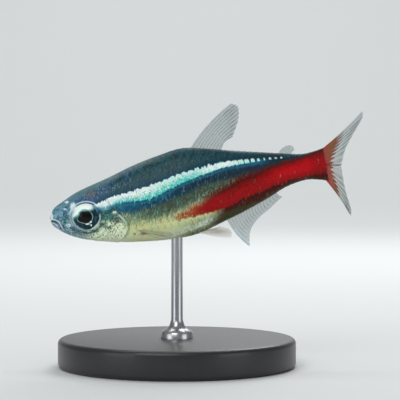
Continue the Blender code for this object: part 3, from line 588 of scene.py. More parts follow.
def relief(s, h):
    """How far the skin stands out of the plain body, how much painted shade its creases get and how much
    painted highlight its rims.
    """
    height, crease_shade, light = np.zeros_like(s), np.zeros_like(s), np.zeros_like(s)
    near = s < HEAD_END

    # The lips stand out on both sides of the mouth's cleft, which narrows to its corner
    away, share = line_distance(s[near], h[near], MOUTH_LINE)
    cleft = bump(away, MOUTH_CLEFT[1] - 0.025 * share) * fade(share, 1.02, 0.77)
    height[near] += form(away, LIPS) * fade(share, 1.15, 0.75) + MOUTH_CLEFT[0] * cleft
    height[near] += form(np.hypot(s[near], h[near] - 0.05), UPPER_LIP)
    height[near] += form(np.hypot(s[near] - 0.4, h[near] + 0.85), CHIN)
    # Painted shade in the mouth's cleft and a painted highlight along the lips beside it
    crease_shade[near] += 0.9 * cleft
    light[near] += 0.9 * bump(away - 0.17, 0.06) * fade(share, 1.0, 0.7)

    for line in HEAD_LINES:
        away, share = line_distance(s[near], h[near], line)
        stroke = fade(share, 0.0, 0.2) * fade(share, 1.0, 0.8)
        height[near] += form(away, HEAD_GROOVE) * stroke
        # Painted shade in each groove and a painted highlight beside it
        crease_shade[near] += 0.6 * bump(away, 0.06) * stroke
        light[near] += 0.5 * bump(away - 0.15, 0.05) * stroke

    # The gill cover rises to its edge, and the body starts lower behind it
    behind = s - gill_edge(h)
    closed = fade(h, 1.3, 0.4) * fade(h, -4.0, -3.1)
    cover = GILL_COVER[0] * np.exp(np.minimum(behind, 0) / GILL_COVER[1]) * fade(behind, 0.0, -0.09)
    gap = GILL_GAP[0] * np.exp(-np.maximum(behind, 0) / GILL_GAP[1])
    height += closed * np.where(behind < 0, cover, gap)
    # Painted shade in the gap behind the gill cover and a painted highlight along the cover's edge
    crease_shade += 0.6 * closed * bump(behind - 0.05, 0.07)
    light += closed * bump(behind + 0.13, 0.07) * fade(h, -2.1, -1.4) * fade(h, -0.5, -1.0)

    away, share = line_distance(s[near], h[near], CHEEK_LINE)
    ends = fade(share, 0.0, 0.15) * fade(share, 1.0, 0.85)
    height[near] += form(away, CHEEK_FOLD) * ends
    height[near] += form(away - 0.22, CHEEK_RIDGE) * fade(share, 0.0, 0.2) * fade(share, 1.0, 0.8)
    # Painted shade in the cheek's fold
    crease_shade[near] += 0.25 * bump(away, CHEEK_FOLD[1]) * ends

    # The eye sits in a hollow with a raised ring. A line of painted shade runs round the hollow's edge,
    # fainter above and in front, and a painted highlight lies on its rim above the eye and in front of it
    eye = eye_distance(s, h)
    back, up = s - EYE_PLACE[0], h - EYE_PLACE[1]
    height += EYE_SOCKET * fade(eye, 1.02, 0.91) + form(eye - 1.08, EYE_RING)
    over = fade(up, 0.3, 1.2) * fade(back, 1.6, 1.1)
    front = fade(back, -0.9, -1.3) * fade(up, -1.1, -0.6)
    crease_shade += 0.45 * bump(eye - 0.99, 0.03) * (1 - 0.9 * front) * (1 - 0.75 * over)
    light += 0.8 * bump(eye - 1.085, 0.065) * over + 0.55 * bump(eye - 1.01, 0.08) * front

    nostril = np.hypot(s - NOSTRIL_PLACE[0], (h - NOSTRIL_PLACE[1]) * 1.3)
    height += form(nostril - 0.27, NOSTRIL_RIM) + form(nostril, NOSTRIL_PIT)
    # Painted shade in the nostril's pit
    crease_shade += 0.8 * bump(nostril, 0.13)
    return height, np.clip(crease_shade, 0, 1), np.clip(light, 0, 1)


def skin_points(s, turn, lift=0.0):
    """Points on the skin, lifted off it."""
    plain = section(s, turn)
    return plain + section_normal(s, turn) * (relief(s, plain[:, 2])[0] + lift)[:, None]


def column_number(s):
    """Which column of scales each distance behind the snout lies in, with the share of it passed."""
    pitch = COLUMN_PITCH[0] + COLUMN_SLOPE * (np.maximum(s, 0) - FIRST_COLUMN)
    return np.log(pitch / COLUMN_PITCH[0]) / COLUMN_SLOPE


def column_place(number):
    return FIRST_COLUMN + COLUMN_PITCH[0] * (np.exp(number * COLUMN_SLOPE) - 1) / COLUMN_SLOPE


def to_world(points):
    sizes = bpy.context.scene.tetra_sizes
    cos, sin = math.cos(sizes.pitch), math.sin(sizes.pitch)
    s, y, h = points[:, 0], points[:, 1] + sideways(points[:, 0]), points[:, 2]
    turned = np.column_stack((s * cos - h * sin, y, s * sin + h * cos))
    return turned * MM + np.array(sizes.snout)


def coordinates(mesh):
    places = np.empty(len(mesh.vertices) * 3)
    mesh.vertices.foreach_get("co", places)
    return places.reshape(-1, 3)


def set_coordinates(mesh, places):
    mesh.vertices.foreach_set("co", np.asarray(places, np.float32).ravel())
    mesh.update()


def set_attribute(mesh, name, kind, values):
    made = mesh.attributes.new(name, kind, "POINT")
    key = "vector" if kind == "FLOAT_VECTOR" else "value"
    made.data.foreach_set(key, np.asarray(values, np.float32).ravel())


def set_markings(mesh, s, h, rim=0.0):
    """Fields that the skin's and the scales' finish reads: places, heights above the lines and patches."""
    set_attribute(mesh, "marking", "FLOAT_VECTOR", np.column_stack((s, column_number(s), h)))
    for name, line in LINES.items():
        curve = spline_at(line, np.linspace(0, 1, 400))
        set_attribute(mesh, name, "FLOAT", h - np.interp(s, curve[:, 0], curve[:, 1]))
    fields = {name: np.zeros_like(s) for name in FIELDS}
    for name, patches in PATCHES.items():
        for place, reach in patches:
            fields[name] = np.maximum(fields[name], spot(s, h, place, reach))
    back, belly, _ = body_at(s)
    fields["crown"] = back - h
    fields["underside"] = h - belly
    fields["silver"] = bump(line_distance(s, h, SILVER_LINE)[0], 0.3)
    fields["orbit"] = fade(h - EYE_PLACE[1], -0.6, -1.2) * bump(eye_distance(s, h) - 1.12, 0.12)
    fields["rim"] += rim
    _, fields["crease_shade"], fields["rim_highlight"] = relief(s, h)
    for name, values in fields.items():
        set_attribute(mesh, name, "FLOAT", values)


def deselect():
    bpy.ops.object.select_all(action="DESELECT")


def select(obj):
    """Select this object alone and make it the active one."""
    deselect()
    obj.select_set(True)
    bpy.context.view_layer.objects.active = obj


def named(name):
    """The object that an operator has just added, with its new name."""
    obj = bpy.context.object
    obj.name = name
    obj.data.name = name
    return obj


def apply_modifiers(obj):
    select(obj)
    for modifier in list(obj.modifiers):
        bpy.ops.object.modifier_apply(modifier=modifier.name)


def recalculate_normals(obj):
    select(obj)
    bpy.ops.object.mode_set(mode="EDIT")
    bpy.ops.mesh.select_all(action="SELECT")
    bpy.ops.mesh.normals_make_consistent(inside=False)
    bpy.ops.object.mode_set(mode="OBJECT")


def finish_piece(obj, material, nodes=()):
    """Smooth shading, a finish, a ride on the fish's body, and the solids that the piece stands for."""
    obj.data.shade_smooth()
    obj.data.materials.clear()
    obj.data.materials.append(material)
    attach(obj, BODY)
    if nodes:
        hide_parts(*nodes)


def add_node(tree, kind, inputs=(), take=None, **settings):
    """Add a node with its settings, and give one of its outputs, or the first in use. An input is a value to
    set or another node's output to link."""
    made = tree.nodes.new(kind)
    for name, value in settings.items():
        setattr(made, name, value)
    pairs = inputs.items() if isinstance(inputs, dict) else enumerate(inputs)
    for key, value in pairs:
        if isinstance(value, bpy.types.NodeSocket):
            tree.links.new(value, made.inputs[key])
        else:
            made.inputs[key].default_value = value
    return made.outputs[take] if take else next(out for out in made.outputs if out.enabled)


def new_material(name, values):
    """A material, its nodes and its shader, with the shader's own values set."""
    material = bpy.data.materials.new(name)
    material.use_nodes = True
    shader = material.node_tree.nodes["Principled BSDF"]
    for key, value in values.items():
        shader.inputs[key].default_value = value
    return material, material.node_tree, shader


def painted(tree, ground, layers, sources, shift):
    """The layers of colour laid over the ground. shift is noise about 0 that makes their edges ragged."""
    colours = bpy.context.scene.tetra_colours
    below = (*getattr(colours, ground), 1.0)
    for name, strength, ragged, fields in layers:
        mask = strength
        for field, (none, full) in fields.items():
            value = sources[field]
            if ragged and field not in PATTERNS:
                value = add_node(tree, "ShaderNodeMath", (shift, ragged * 2, value), operation="MULTIPLY_ADD")
            edge = add_node(tree, "ShaderNodeMapRange", (value, none, full), interpolation_type="SMOOTHSTEP")
            mask = add_node(tree, "ShaderNodeMath", (edge, mask), operation="MULTIPLY")
        above = (*getattr(colours, name), 1.0)
        below = add_node(tree, "ShaderNodeMix", {MASK: mask, BELOW: below, ABOVE: above}, data_type="RGBA")
    return below


# A colour mix node's inputs, by number, because inputs for other kinds of value have the same names
MASK, BELOW, ABOVE = 0, 6, 7

# Noise patterns: how many repeats a metre back, across and up, and the roughness of its detail. Streaks are
# about 0.3 mm wide and 1 mm high, hairs 0.12 by 0.4 mm, and the finest are drawn coarser than real pigment.
# The dots are cells, as many a metre as PIGMENT_CELLS.
PATTERNS = {
    "streaks": ((3300.0, 1500.0, 1000.0), 0.6),
    "hairs": ((8000.0, 3500.0, 2500.0), 0.65),
    "clouds": ((520.0, 520.0, 520.0), 0.55),
    "grain": ((6500.0, 6500.0, 5000.0), 0.6),
    "flecks": ((2600.0, 2600.0, 2600.0), 0.5),
    "dots": None,
}
PIGMENT_CELLS = 5200.0


def markings_group():
    """The fish's colours and fine grain, as a group of nodes that the skin and the scales share."""
    found = bpy.data.node_groups.get("tetra_markings")
    if found:
        return found
    tree = bpy.data.node_groups.new("tetra_markings", "ShaderNodeTree")
    for name, kind in (("Colour", "NodeSocketColor"), ("Grain", "NodeSocketFloat")):
        tree.interface.new_socket(name, in_out="OUTPUT", socket_type=kind)
    place = add_node(tree, "ShaderNodeTexCoord", take="Object")
    sources = {}
    for name, pattern in PATTERNS.items():
        if pattern:
            pace, roughness = pattern
            stretched = add_node(tree, "ShaderNodeMapping", {"Vector": place, "Scale": pace})
            settings = {"Vector": stretched, "Scale": 1.0, "Detail": 3.0, "Roughness": roughness}
            sources[name] = add_node(tree, "ShaderNodeTexNoise", settings)
        else:
            sources[name] = add_node(tree, "ShaderNodeTexVoronoi", {"Vector": place, "Scale": PIGMENT_CELLS})
    marking = add_node(tree, "ShaderNodeAttribute", take="Vector", attribute_name="marking")
    split = add_node(tree, "ShaderNodeSeparateXYZ", (marking,)).node.outputs
    sources["s"], sources["h"] = split[0], split[2]
    for name in (*LINES, *FIELDS):
        sources[name] = add_node(tree, "ShaderNodeAttribute", take="Fac", attribute_name=name)

    # The stripe's upper edge bulges over each scale, most behind the middle, and towards the tail the stripe
    # breaks into a row of ever smaller dots, one a scale, each of its own size
    phase = add_node(tree, "ShaderNodeMath", (split[1], math.pi), operation="MULTIPLY")
    wave = add_node(tree, "ShaderNodeMath", (phase,), operation="SINE")
    lobe = add_node(tree, "ShaderNodeMath", (wave,), operation="ABSOLUTE")
    top = sources["stripe_top"]
    bulge = add_node(tree, "ShaderNodeMapRange", (split[0], *EDGE_BULGE))
    sources["stripe_top"] = add_node(tree, "ShaderNodeMath", (lobe, bulge, top), operation="MULTIPLY_ADD")
    spread = add_node(tree, "ShaderNodeMapRange", (split[0], *DOT_GAP))
    column = add_node(tree, "ShaderNodeMath", (split[1],), operation="FLOOR")
    uneven = add_node(tree, "ShaderNodeTexWhiteNoise", {"W": column}, noise_dimensions="1D")
    share = add_node(tree, "ShaderNodeMapRange", (split[0], *DOT_UNEVEN))
    gap = add_node(tree, "ShaderNodeMath", (uneven, share, spread), operation="MULTIPLY_ADD")
    sources["beads"] = add_node(tree, "ShaderNodeMath", (lobe, gap), operation="SUBTRACT")
    # Each dot is round: this is the height from the stripe's middle, in mm
    ends = add_node(tree, "ShaderNodeMath", (top, sources["stripe_bottom"]), operation="ADD")
    off = add_node(tree, "ShaderNodeMath", (ends,), operation="ABSOLUTE")
    reach = add_node(tree, "ShaderNodeMapRange", (split[0], *DOT_SHRINK))
    sources["tail_gap"] = add_node(tree, "ShaderNodeMath", (off, 0.5, reach), operation="MULTIPLY_ADD")

    shift = add_node(tree, "ShaderNodeMath", (sources["streaks"], 0.5), operation="SUBTRACT")
    fine = add_node(tree, "ShaderNodeMath", (sources["hairs"], 0.5), operation="SUBTRACT")
    shift = add_node(tree, "ShaderNodeMath", (fine, shift), operation="ADD")
    colour = painted(tree, "belly", LAYERS, sources, shift)
    ends = tree.nodes.new("NodeGroupOutput").inputs
    tree.links.new(colour, ends["Colour"])
    tree.links.new(sources["hairs"], ends["Grain"])
    return tree


def wet_material(name, roughness, strength):
    """Fish skin or thin bony scales under clear slime: soft colours with a fine grain and a wet gloss."""
    values = {"Roughness": roughness, "Specular IOR Level": 0.12, "Coat Weight": 0.05, "Coat Roughness": 0.07}
    material, tree, shader = new_material(name, values)
    marks = add_node(tree, "ShaderNodeGroup", node_tree=markings_group()).node.outputs
    tree.links.new(marks["Colour"], shader.inputs["Base Color"])
    height = {"Height": marks["Grain"], "Strength": strength, "Distance": 0.04 * MM}
    tree.links.new(add_node(tree, "ShaderNodeBump", height), shader.inputs["Normal"])
    return material


class TETRA_OT_skin(bpy.types.Operator):
    """Model one skin from the snout to the root of the tail fin"""

    bl_idname = "tetra.skin"
    bl_label = "Skin"

    def execute(self, context):
        sizes = context.scene.tetra_sizes
        deselect()
        rings, sides = sizes.skin_rings, sizes.skin_sides
        bpy.ops.mesh.primitive_uv_sphere_add(segments=sides, ring_count=rings, radius=1.0)
        skin = named("skin")
        ball = coordinates(skin.data)
        ring = np.arccos(np.clip(ball[:, 2], -1, 1)) / math.pi
        turn = np.arctan2(-ball[:, 0], ball[:, 1])

        # Rings lie closer on the head, where the mouth, eyes and gill covers need them
        fine = np.linspace(SNOUT_TIP[0], TAIL_ROOT, 3000)
        spacing = RING_SPACING + BODY_SPACING * fade(fine, 7.5, 10.5) - LIP_SPACING * fade(fine, 0.6, 0.0)
        share = np.cumsum(1 / spacing)
        share = (share - share[0]) / (share[-1] - share[0])
        s = np.interp(ring, share, fine)
        points = skin_points(s, turn)
        pole = 0.5 / rings
        points[ring < pole] = SKIN_POLES[0]
        points[ring > 1 - pole] = SKIN_POLES[1]
        plain = section(s, turn)
        set_markings(skin.data, plain[:, 0], plain[:, 2])
        set_coordinates(skin.data, to_world(points))
        recalculate_normals(skin)
        material = wet_material("wet_skin", 0.4, 0.35)
        finish_piece(skin, material, ("head", "lower_jaw", "trunk", "tail_stalk"))
        return {"FINISHED"}


def scale_template():
    """One thin scale with its root at x 0 and its free edge at x 1, from -1 to 1 across, as bent plate."""
    deselect()
    bpy.ops.mesh.primitive_grid_add(x_subdivisions=4, y_subdivisions=4, size=2.0)
    plate = named("scale")
    flat = coordinates(plate.data)
    out, across = (flat[:, 0] + 1) / 2, flat[:, 1]
    reach = out * (1 - SCALE_ROUND * across**2)
    wide = across * (SCALE_ROOT + (1 - SCALE_ROOT) * np.sin(math.pi * np.minimum(out, 0.8)))
    lift = SCALE_RISE * reach - SCALE_SINK - SCALE_DROP * across**2
    set_coordinates(plate.data, np.column_stack((reach, wide, lift)))
    wall = plate.modifiers.new("wall", "SOLIDIFY")
    wall.thickness = bpy.context.scene.tetra_sizes.scale_thickness / MM
    wall.offset = -1.0
    apply_modifiers(plate)
    points = coordinates(plate.data)
    faces = [tuple(face.vertices) for face in plate.data.polygons]
    bpy.data.objects.remove(plate, do_unlink=True)
    return points, faces


def quarter_girths(s):
    """The skin's length from the middle of the flank to the back and to the belly, at each place."""
    turns = np.linspace(0, math.pi / 2, 40)
    girths = []
    for start in (0.0, math.pi / 2):
        lengths = []
        for place in s:
            path = section(np.full(len(turns), place), turns + start)
            lengths.append(np.linalg.norm(np.diff(path, axis=0), axis=1).sum())
        girths.append(np.array(lengths))
    return girths


def turn_at(share):
    """The turn round the body at a share of the way from mid flank, which is -1 at the back and 1 at the
    belly. The section at MID_BODY stands for all."""
    turns = np.linspace(0, math.pi, 121)
    path = section(np.full(len(turns), MID_BODY), turns)
    lengths = np.concatenate(([0], np.cumsum(np.linalg.norm(np.diff(path, axis=0), axis=1))))
    half = lengths[len(turns) // 2]
    places = np.where(turns <= math.pi / 2, lengths / half - 1, (lengths - half) / (lengths[-1] - half))
    return np.interp(share, places, turns)


class TETRA_OT_scales(bpy.types.Operator):
    """Lay overlapping scales on both sides of the body"""

    bl_idname = "tetra.scales"
    bl_label = "Scales"

    def execute(self, context):
        scale_row = context.scene.tetra_sizes.scale_row / MM
        template, template_faces = scale_template()
        fine = np.linspace(0.5, TAIL_ROOT, 200)
        girths = quarter_girths(fine)
        deepest = (girths[0] + girths[1]).max()
        draw = random.Random(7)
        material = wet_material("wet_scales", 0.34, 0.3)
        for side, word in ((1, "left"), (-1, "right")):
            scales = []
            for row in ROWS:
                for column in COLUMNS:
                    number = column + (0.5 if row % 2 else 0.0) + draw.uniform(-0.04, 0.04)
                    root = column_place(number)
                    girth = [np.interp(root, fine, g) for g in girths]
                    pitch = scale_row * ((girth[0] + girth[1]) / deepest) ** 0.75
                    along_row = row * pitch
                    share = along_row / (girth[0] if row < 0 else girth[1])
                    if root > TAIL_ROOT - 0.35 or abs(share) > 1.02:
                        continue
                    turn = turn_at(share)
                    height = section(np.array([root]), np.array([turn]))[0, 2]
                    if root < max(gill_edge(height) - 0.1, COAT_START):
                        continue
                    length = SCALE_LENGTH * (column_place(number + 1) - root) * draw.uniform(0.96, 1.04)
                    half_width = SCALE_HALF_WIDTH * pitch * draw.uniform(0.96, 1.04)
                    s = np.minimum(root + template[:, 0] * length, TAIL_ROOT)
                    apart = along_row + template[:, 1] * half_width
                    near = np.where(apart < 0, np.interp(s, fine, girths[0]), np.interp(s, fine, girths[1]))
                    spread = apart / near
                    inside = np.clip(spread, -1, 1)
                    turns = turn_at(inside) + (spread - inside) * 0.9
                    scales.append((root, side * turn, skin_points(s, side * turns, template[:, 2])))
            self.coat("scales_" + word, scales, template, template_faces, material)
        return {"FINISHED"}

    def coat(self, name, scales, template, template_faces, material):
        """One side's scales joined in one mesh, each a small patch of the coat's own map."""
        points = np.concatenate([placed for _, _, placed in scales])
        firsts = range(0, len(points), len(template))
        faces = [[first + i for i in face] for first in firsts for face in template_faces]
        mesh = bpy.data.meshes.new(name)
        mesh.from_pydata(to_world(points).tolist(), [], faces)
        # A scale's colours are read a little towards its middle, so that they change from one to the next
        marks = np.concatenate([placed * 0.85 + placed.mean(axis=0) * 0.15 for _, _, placed in scales])
        out, across = template[:, 0], template[:, 1]
        rim = np.clip(np.hypot(out - 0.35, across * 0.62) / 0.65, 0, 1)
        set_markings(mesh, marks[:, 0], marks[:, 2], np.tile(rim, len(scales)))
        patch = np.column_stack((across / 2, out)) * SCALE_PATCH
        places = np.concatenate(
            [((turn / (2 * math.pi)) % 1.0, root / TAIL_ROOT) + patch for root, turn, _ in scales]
        )
        loops = np.empty(len(mesh.loops), int)
        mesh.loops.foreach_get("vertex_index", loops)
        layer = mesh.uv_layers.new(name="OFBake")
        layer.data.foreach_set("uv", places[loops].ravel().astype(np.float32))
        coat = bpy.data.objects.new(name, mesh)
        bpy.context.collection.objects.link(coat)
        finish_piece(coat, material)
        mesh.set_sharp_from_angle(angle=math.radians(40))


# The eye's layers, as the skin's. away is the distance from the eye's middle, edge the same as a share of the
# eye's reach, lean rises to its top and front towards the snout.
IRIS_LAYERS = (
    ("iris_teal", 0.9, 0.2, {"flecks": (0.48, 0.62)}),
    ("iris_teal", 0.7, 0.1, {"away": (1.0, 1.3), "flecks": (0.54, 0.42), "front": (-0.4, 0.6)}),
    ("iris_cyan", 0.9, 0.3, {"lean": (0.2, 0.55), "away": (0.62, 0.72), "flecks": (0.66, 0.46)}),
    ("iris_white", 1.0, 0.25, {"lean": (0.42, 0.7), "away": (0.78, 0.9)}),
    ("iris", 0.7, 0.05, {"edge": (0.74, 0.78), "lean": (0.6, 0.2), "front": (0.3, -0.3)}),
    ("fringe_low", 0.6, 0.1, {"edge": (0.76, 0.84), "lean": (-0.45, 0.0), "front": (-0.75, -1.0)}),
    ("haze_blue", 0.6, 0.1, {"edge": (0.78, 0.9), "lean": (-0.15, 0.25), "front": (-0.8, -1.2)}),
    ("iris_ring", 0.8, 0.1, {"edge": (0.76, 0.85), "front": (0.2, 0.9), "lean": (1.3, 1.0)}),
    ("iris_ring", 0.75, 0.05, {"edge": (0.87, 0.91), "lean": (-0.1, -0.4), "front": (1.3, 0.4)}),
    ("iris_white", 0.8, 0.05, {"edge": (0.86, 0.9), "lean": (-0.3, -0.6), "front": (0.0, -0.5)}),
    ("iris_ring", 0.6, 0.05, {"pupil_edge": (0.1, 0.05), "lean": (0.4, 0.0)}),
    ("iris_white", 1.0, 0.06, {"glint": (0.35, 0.6)}),
    ("pupil", 1.0, 0.02, {"pupil_edge": (0.02, -0.02)}),
)


def iris_material():
    """A fish's eye: a silver and teal iris round a black pupil, deep under the clear gloss of its cornea."""
    values = {"Roughness": 0.35, "Specular IOR Level": 0.05}
    values |= {"Coat Weight": 0.5, "Coat Roughness": 0.02, "Coat IOR": 1.376}
    material, tree, shader = new_material("iris_under_cornea", values)
    place = add_node(tree, "ShaderNodeAttribute", take="Vector", attribute_name="eye_place")
    # Flecks about 0.4 mm across
    spread = add_node(tree, "ShaderNodeMapping", {"Vector": place, "Scale": (2.6, 2.6, 0.0)})
    flecks = add_node(tree, "ShaderNodeTexNoise", {"Vector": spread, "Scale": 1.0, "Detail": 4.0})
    sources = {"flecks": flecks}
    for name in ("away", "edge", "lean", "front", "glint", "pupil_edge"):
        sources[name] = add_node(tree, "ShaderNodeAttribute", take="Fac", attribute_name=name)
    shift = add_node(tree, "ShaderNodeMath", (flecks, 0.5), operation="SUBTRACT")
    colour = painted(tree, "iris", IRIS_LAYERS, sources, shift)
    tree.links.new(colour, shader.inputs["Base Color"])
    return material


class TETRA_OT_eyes(bpy.types.Operator):
    """Set an eye in each side of the head"""

    bl_idname = "tetra.eyes"
    bl_label = "Eyes"

    def execute(self, context):
        pupil = context.scene.tetra_sizes.pupil / MM
        cos, sin = math.cos(EYE_TURN), math.sin(EYE_TURN)
        material = iris_material()
        for side, word in ((-1, "left"), (1, "right")):
            deselect()
            bpy.ops.mesh.primitive_uv_sphere_add(segments=96, ring_count=72, radius=1.0)
            eye = named("eye_ball_" + word)
            ball = coordinates(eye.data)
            back, up = ball[:, 0] * EYE_REACH[0], ball[:, 1] * EYE_REACH[1]
            wide = np.hypot(back, up)
            # The lens pushes the cornea out over the pupil
            bulge = np.where(ball[:, 2] > 0, LENS_BULGE * bump(wide, pupil * 1.2), 0)
            deep = EYE_DEPTH * ball[:, 2] + bulge
            s = EYE_PLACE[0] + back * cos - deep * sin
            y = side * (EYE_SIDE + deep + back * sin)
            self.set_fields(eye.data, back, up, wide, pupil)
            set_coordinates(eye.data, to_world(np.column_stack((s, y, EYE_PLACE[1] + up))))
            recalculate_normals(eye)
            finish_piece(eye, material, ("eye_" + word,))
        return {"FINISHED"}

    def set_fields(self, mesh, back, up, wide, pupil):
        """Fields that the iris's finish reads. The pupil is drawn out to a point at its lower front."""
        point = 0.2 * np.maximum(0, (-back * 0.98 - up * 0.2) / np.maximum(wide, 0.01)) ** 8
        glints = np.zeros_like(back)
        for place, reach in GLINTS:
            glints = np.maximum(glints, spot(back, up, place, reach))
        fields = {
            "away": wide,
            "edge": np.hypot(back / EYE_REACH[0], up / EYE_REACH[1]),
            "lean": up - 0.26 * back,
            "front": -back,
            "glint": glints,
            "pupil_edge": np.hypot(back - 0.07, up * 1.12) - pupil - point,
        }
        set_attribute(mesh, "eye_place", "FLOAT_VECTOR", np.column_stack((back, up, wide)))
        for name, values in fields.items():
            set_attribute(mesh, name, "FLOAT", values)


def body_point(s, turn, depth):
    """A place under the skin, as the start of a fin's root."""
    return tuple(skin_points(np.array([s]), np.array([turn]), -depth)[0])


def middle_root(places, turn):
    """A root under the back, at turn 0, or under the belly, at half a turn."""
    return [body_point(s, turn, ROOT_DEPTH) for s in places]


def fin_shapes():
    """Each fin's values, by its node's name."""
    stalk = TAIL_ROOT - 0.3
    shapes = {
        "dorsal_fin": Fin(
            middle_root((15.55, 16.6, 17.7, 18.8), 0.0),
            ((20.7, 0.0, 8.6), (21.35, 0.0, 8.1), (21.1, 0.0, 6.7), (20.2, 0.0, 5.1)),
            bow=0.32, sway=(0.15, 0.35), rays=11, forks=2, finish="middle",
        ),
        "adipose_fin": Fin(
            middle_root((24.6, 25.1, 25.9), 0.0),
            ((25.2, 0.0, 3.05), (25.75, 0.0, 3.2), (26.25, 0.0, 3.05), (26.35, 0.0, 2.6)),
            bow=0.08, sway=(0.0, 0.0), rays=4, forks=0, finish="fleshy",
        ),
        "anal_fin": Fin(
            middle_root((18.15, 20.1, 22.1, 23.9), math.pi),
            ((20.0, 0.0, -6.6), (20.35, 0.0, -5.0), (21.3, 0.0, -3.9), (22.7, 0.0, -3.05), (24.3, 0.0, -2.0)),
            bow=-0.25, sway=(0.3, 0.1), rays=19, forks=1, finish="middle",
        ),
        "caudal_fin_upper": Fin(
            ((stalk, 0.0, 2.1), (stalk, 0.0, 1.35), (stalk, 0.0, 0.55)),
            ((34.4, 0.0, 5.45), (34.2, 0.0, 4.7), (33.0, 0.0, 3.3), (31.8, 0.0, 1.75), (31.1, 0.0, 0.2)),
            bow=-0.12, sway=(1.3, 0.45), rays=10, forks=2, finish="middle",
        ),
        "caudal_fin_lower": Fin(
            ((stalk, 0.0, 0.55), (stalk, 0.0, -0.25), (stalk, 0.0, -1.05)),
            ((31.05, 0.0, 0.2), (31.05, 0.0, -1.4), (31.15, 0.0, -3.0), (31.4, 0.0, -4.7), (31.3, 0.0, -5.4)),
            bow=0.1, sway=(0.45, 2.4), rays=9, forks=2, finish="middle",
        ),
    }
    for side, word in ((-1, "left"), (1, "right")):
        root = ((8.5, -2.8), (8.62, -3.02), (8.75, -3.25))
        root = [body_point(s, -side * side_turn(s, h), 0.2) for s, h in root]
        edge = ((12.1, 4.2, -3.45), (12.4, 3.8, -3.75), (12.0, 3.2, -3.98), (11.0, 2.75, -4.05))
        edge = [(s, side * y, h) for s, y, h in edge]
        shapes["pectoral_fin_" + word] = Fin(
            root, edge, bow=0.05, sway=(0.0, 0.0), rays=10, forks=1, finish="paired"
        )
        root = ((14.3, 0.85), (14.75, 0.68), (15.2, 0.5))
        root = [(s, side * y, keel_height(s, y) + ROOT_DEPTH) for s, y in root]
        edge = ((18.2, 1.6, -5.25), (18.4, 1.25, -4.8), (18.1, 0.9, -4.35), (17.3, 0.6, -3.95))
        edge = [(s, side * y, h) for s, y, h in edge]
        shapes["pelvic_fin_" + word] = Fin(
            root, edge, bow=-0.15, sway=(0.0, 0.0), rays=8, forks=1, finish="paired"
        )
    return shapes


def side_turn(s, h):
    """The turn round the body at which its side reaches this height."""
    turns = np.linspace(0, math.pi, 400)
    heights = section(np.full(len(turns), s), turns)[:, 2]
    return float(np.interp(-h, -heights, turns))


def keel_height(s, y):
    """The belly's height at this distance from the middle plane."""
    turns = np.linspace(math.pi / 2, math.pi, 400)
    path = section(np.full(len(turns), s), turns)
    return float(np.interp(-y, path[:, 1], path[:, 2]))


def fin_surface(fin, across, out):
    """Points of a fin's middle surface at shares across its rays and from its root to its edge."""
    start, end = spline_at(fin.root, across), spline_at(fin.edge, across)
    ray = end - start
    lift = np.column_stack((-ray[:, 2], np.zeros(len(ray)), ray[:, 0]))
    lift /= np.maximum(np.linalg.norm(lift, axis=1, keepdims=True), 1e-9)
    points = start + ray * out[:, None] + lift * (fin.bow * 4 * out * (1 - out))[:, None]
    points[:, 1] += (fin.sway[0] + (fin.sway[1] - fin.sway[0]) * across) * out**2
    return points


def behind_snout(tree):
    """Distance behind the snout in metres, from where a point is."""
    sizes = bpy.context.scene.tetra_sizes
    place = add_node(tree, "ShaderNodeTexCoord", take="Object")
    moved = add_node(tree, "ShaderNodeVectorMath", (place, tuple(sizes.snout)), operation="SUBTRACT")
    pose = {"Vector": moved, "Angle": sizes.pitch}
    turned = add_node(tree, "ShaderNodeVectorRotate", pose, rotation_type="Y_AXIS")
    return add_node(tree, "ShaderNodeSeparateXYZ", (turned,), take="X")


def fin_material(name, colour, alpha, roughness):
    """Clear wet fin tissue: faintly grey, and at the tail fin's root red, then orange brown."""
    material, tree, shader = new_material(name, {"Roughness": roughness, "Alpha": alpha})
    colours = bpy.context.scene.tetra_colours
    s = behind_snout(tree)
    tail = add_node(tree, "ShaderNodeMapRange", (s, TAIL_START[0] * MM, TAIL_START[1] * MM))
    tint = (*getattr(colours, colour), 1.0)
    for over, (none, full) in (("tail_base", BROWN_END), ("red_rear", RED_END)):
        values = (s, none * MM, full * MM)
        close = add_node(tree, "ShaderNodeMapRange", values, interpolation_type="SMOOTHSTEP")
        mask = add_node(tree, "ShaderNodeMath", (tail, close), operation="MULTIPLY")
        pair = {MASK: mask, BELOW: tint, ABOVE: (*getattr(colours, over), 1.0)}
        tint = add_node(tree, "ShaderNodeMix", pair, data_type="RGBA")
    tree.links.new(tint, shader.inputs["Base Color"])
    return material


def white_ray_material():
    """The anal fin's leading ray, thick with silver pigment: glossy bluish white."""
    values = {"Roughness": 0.25, "Coat Weight": 0.3, "Base Color": (*linear("#cbe6ee"), 1.0)}
    return new_material("silvered_ray", values)[0]


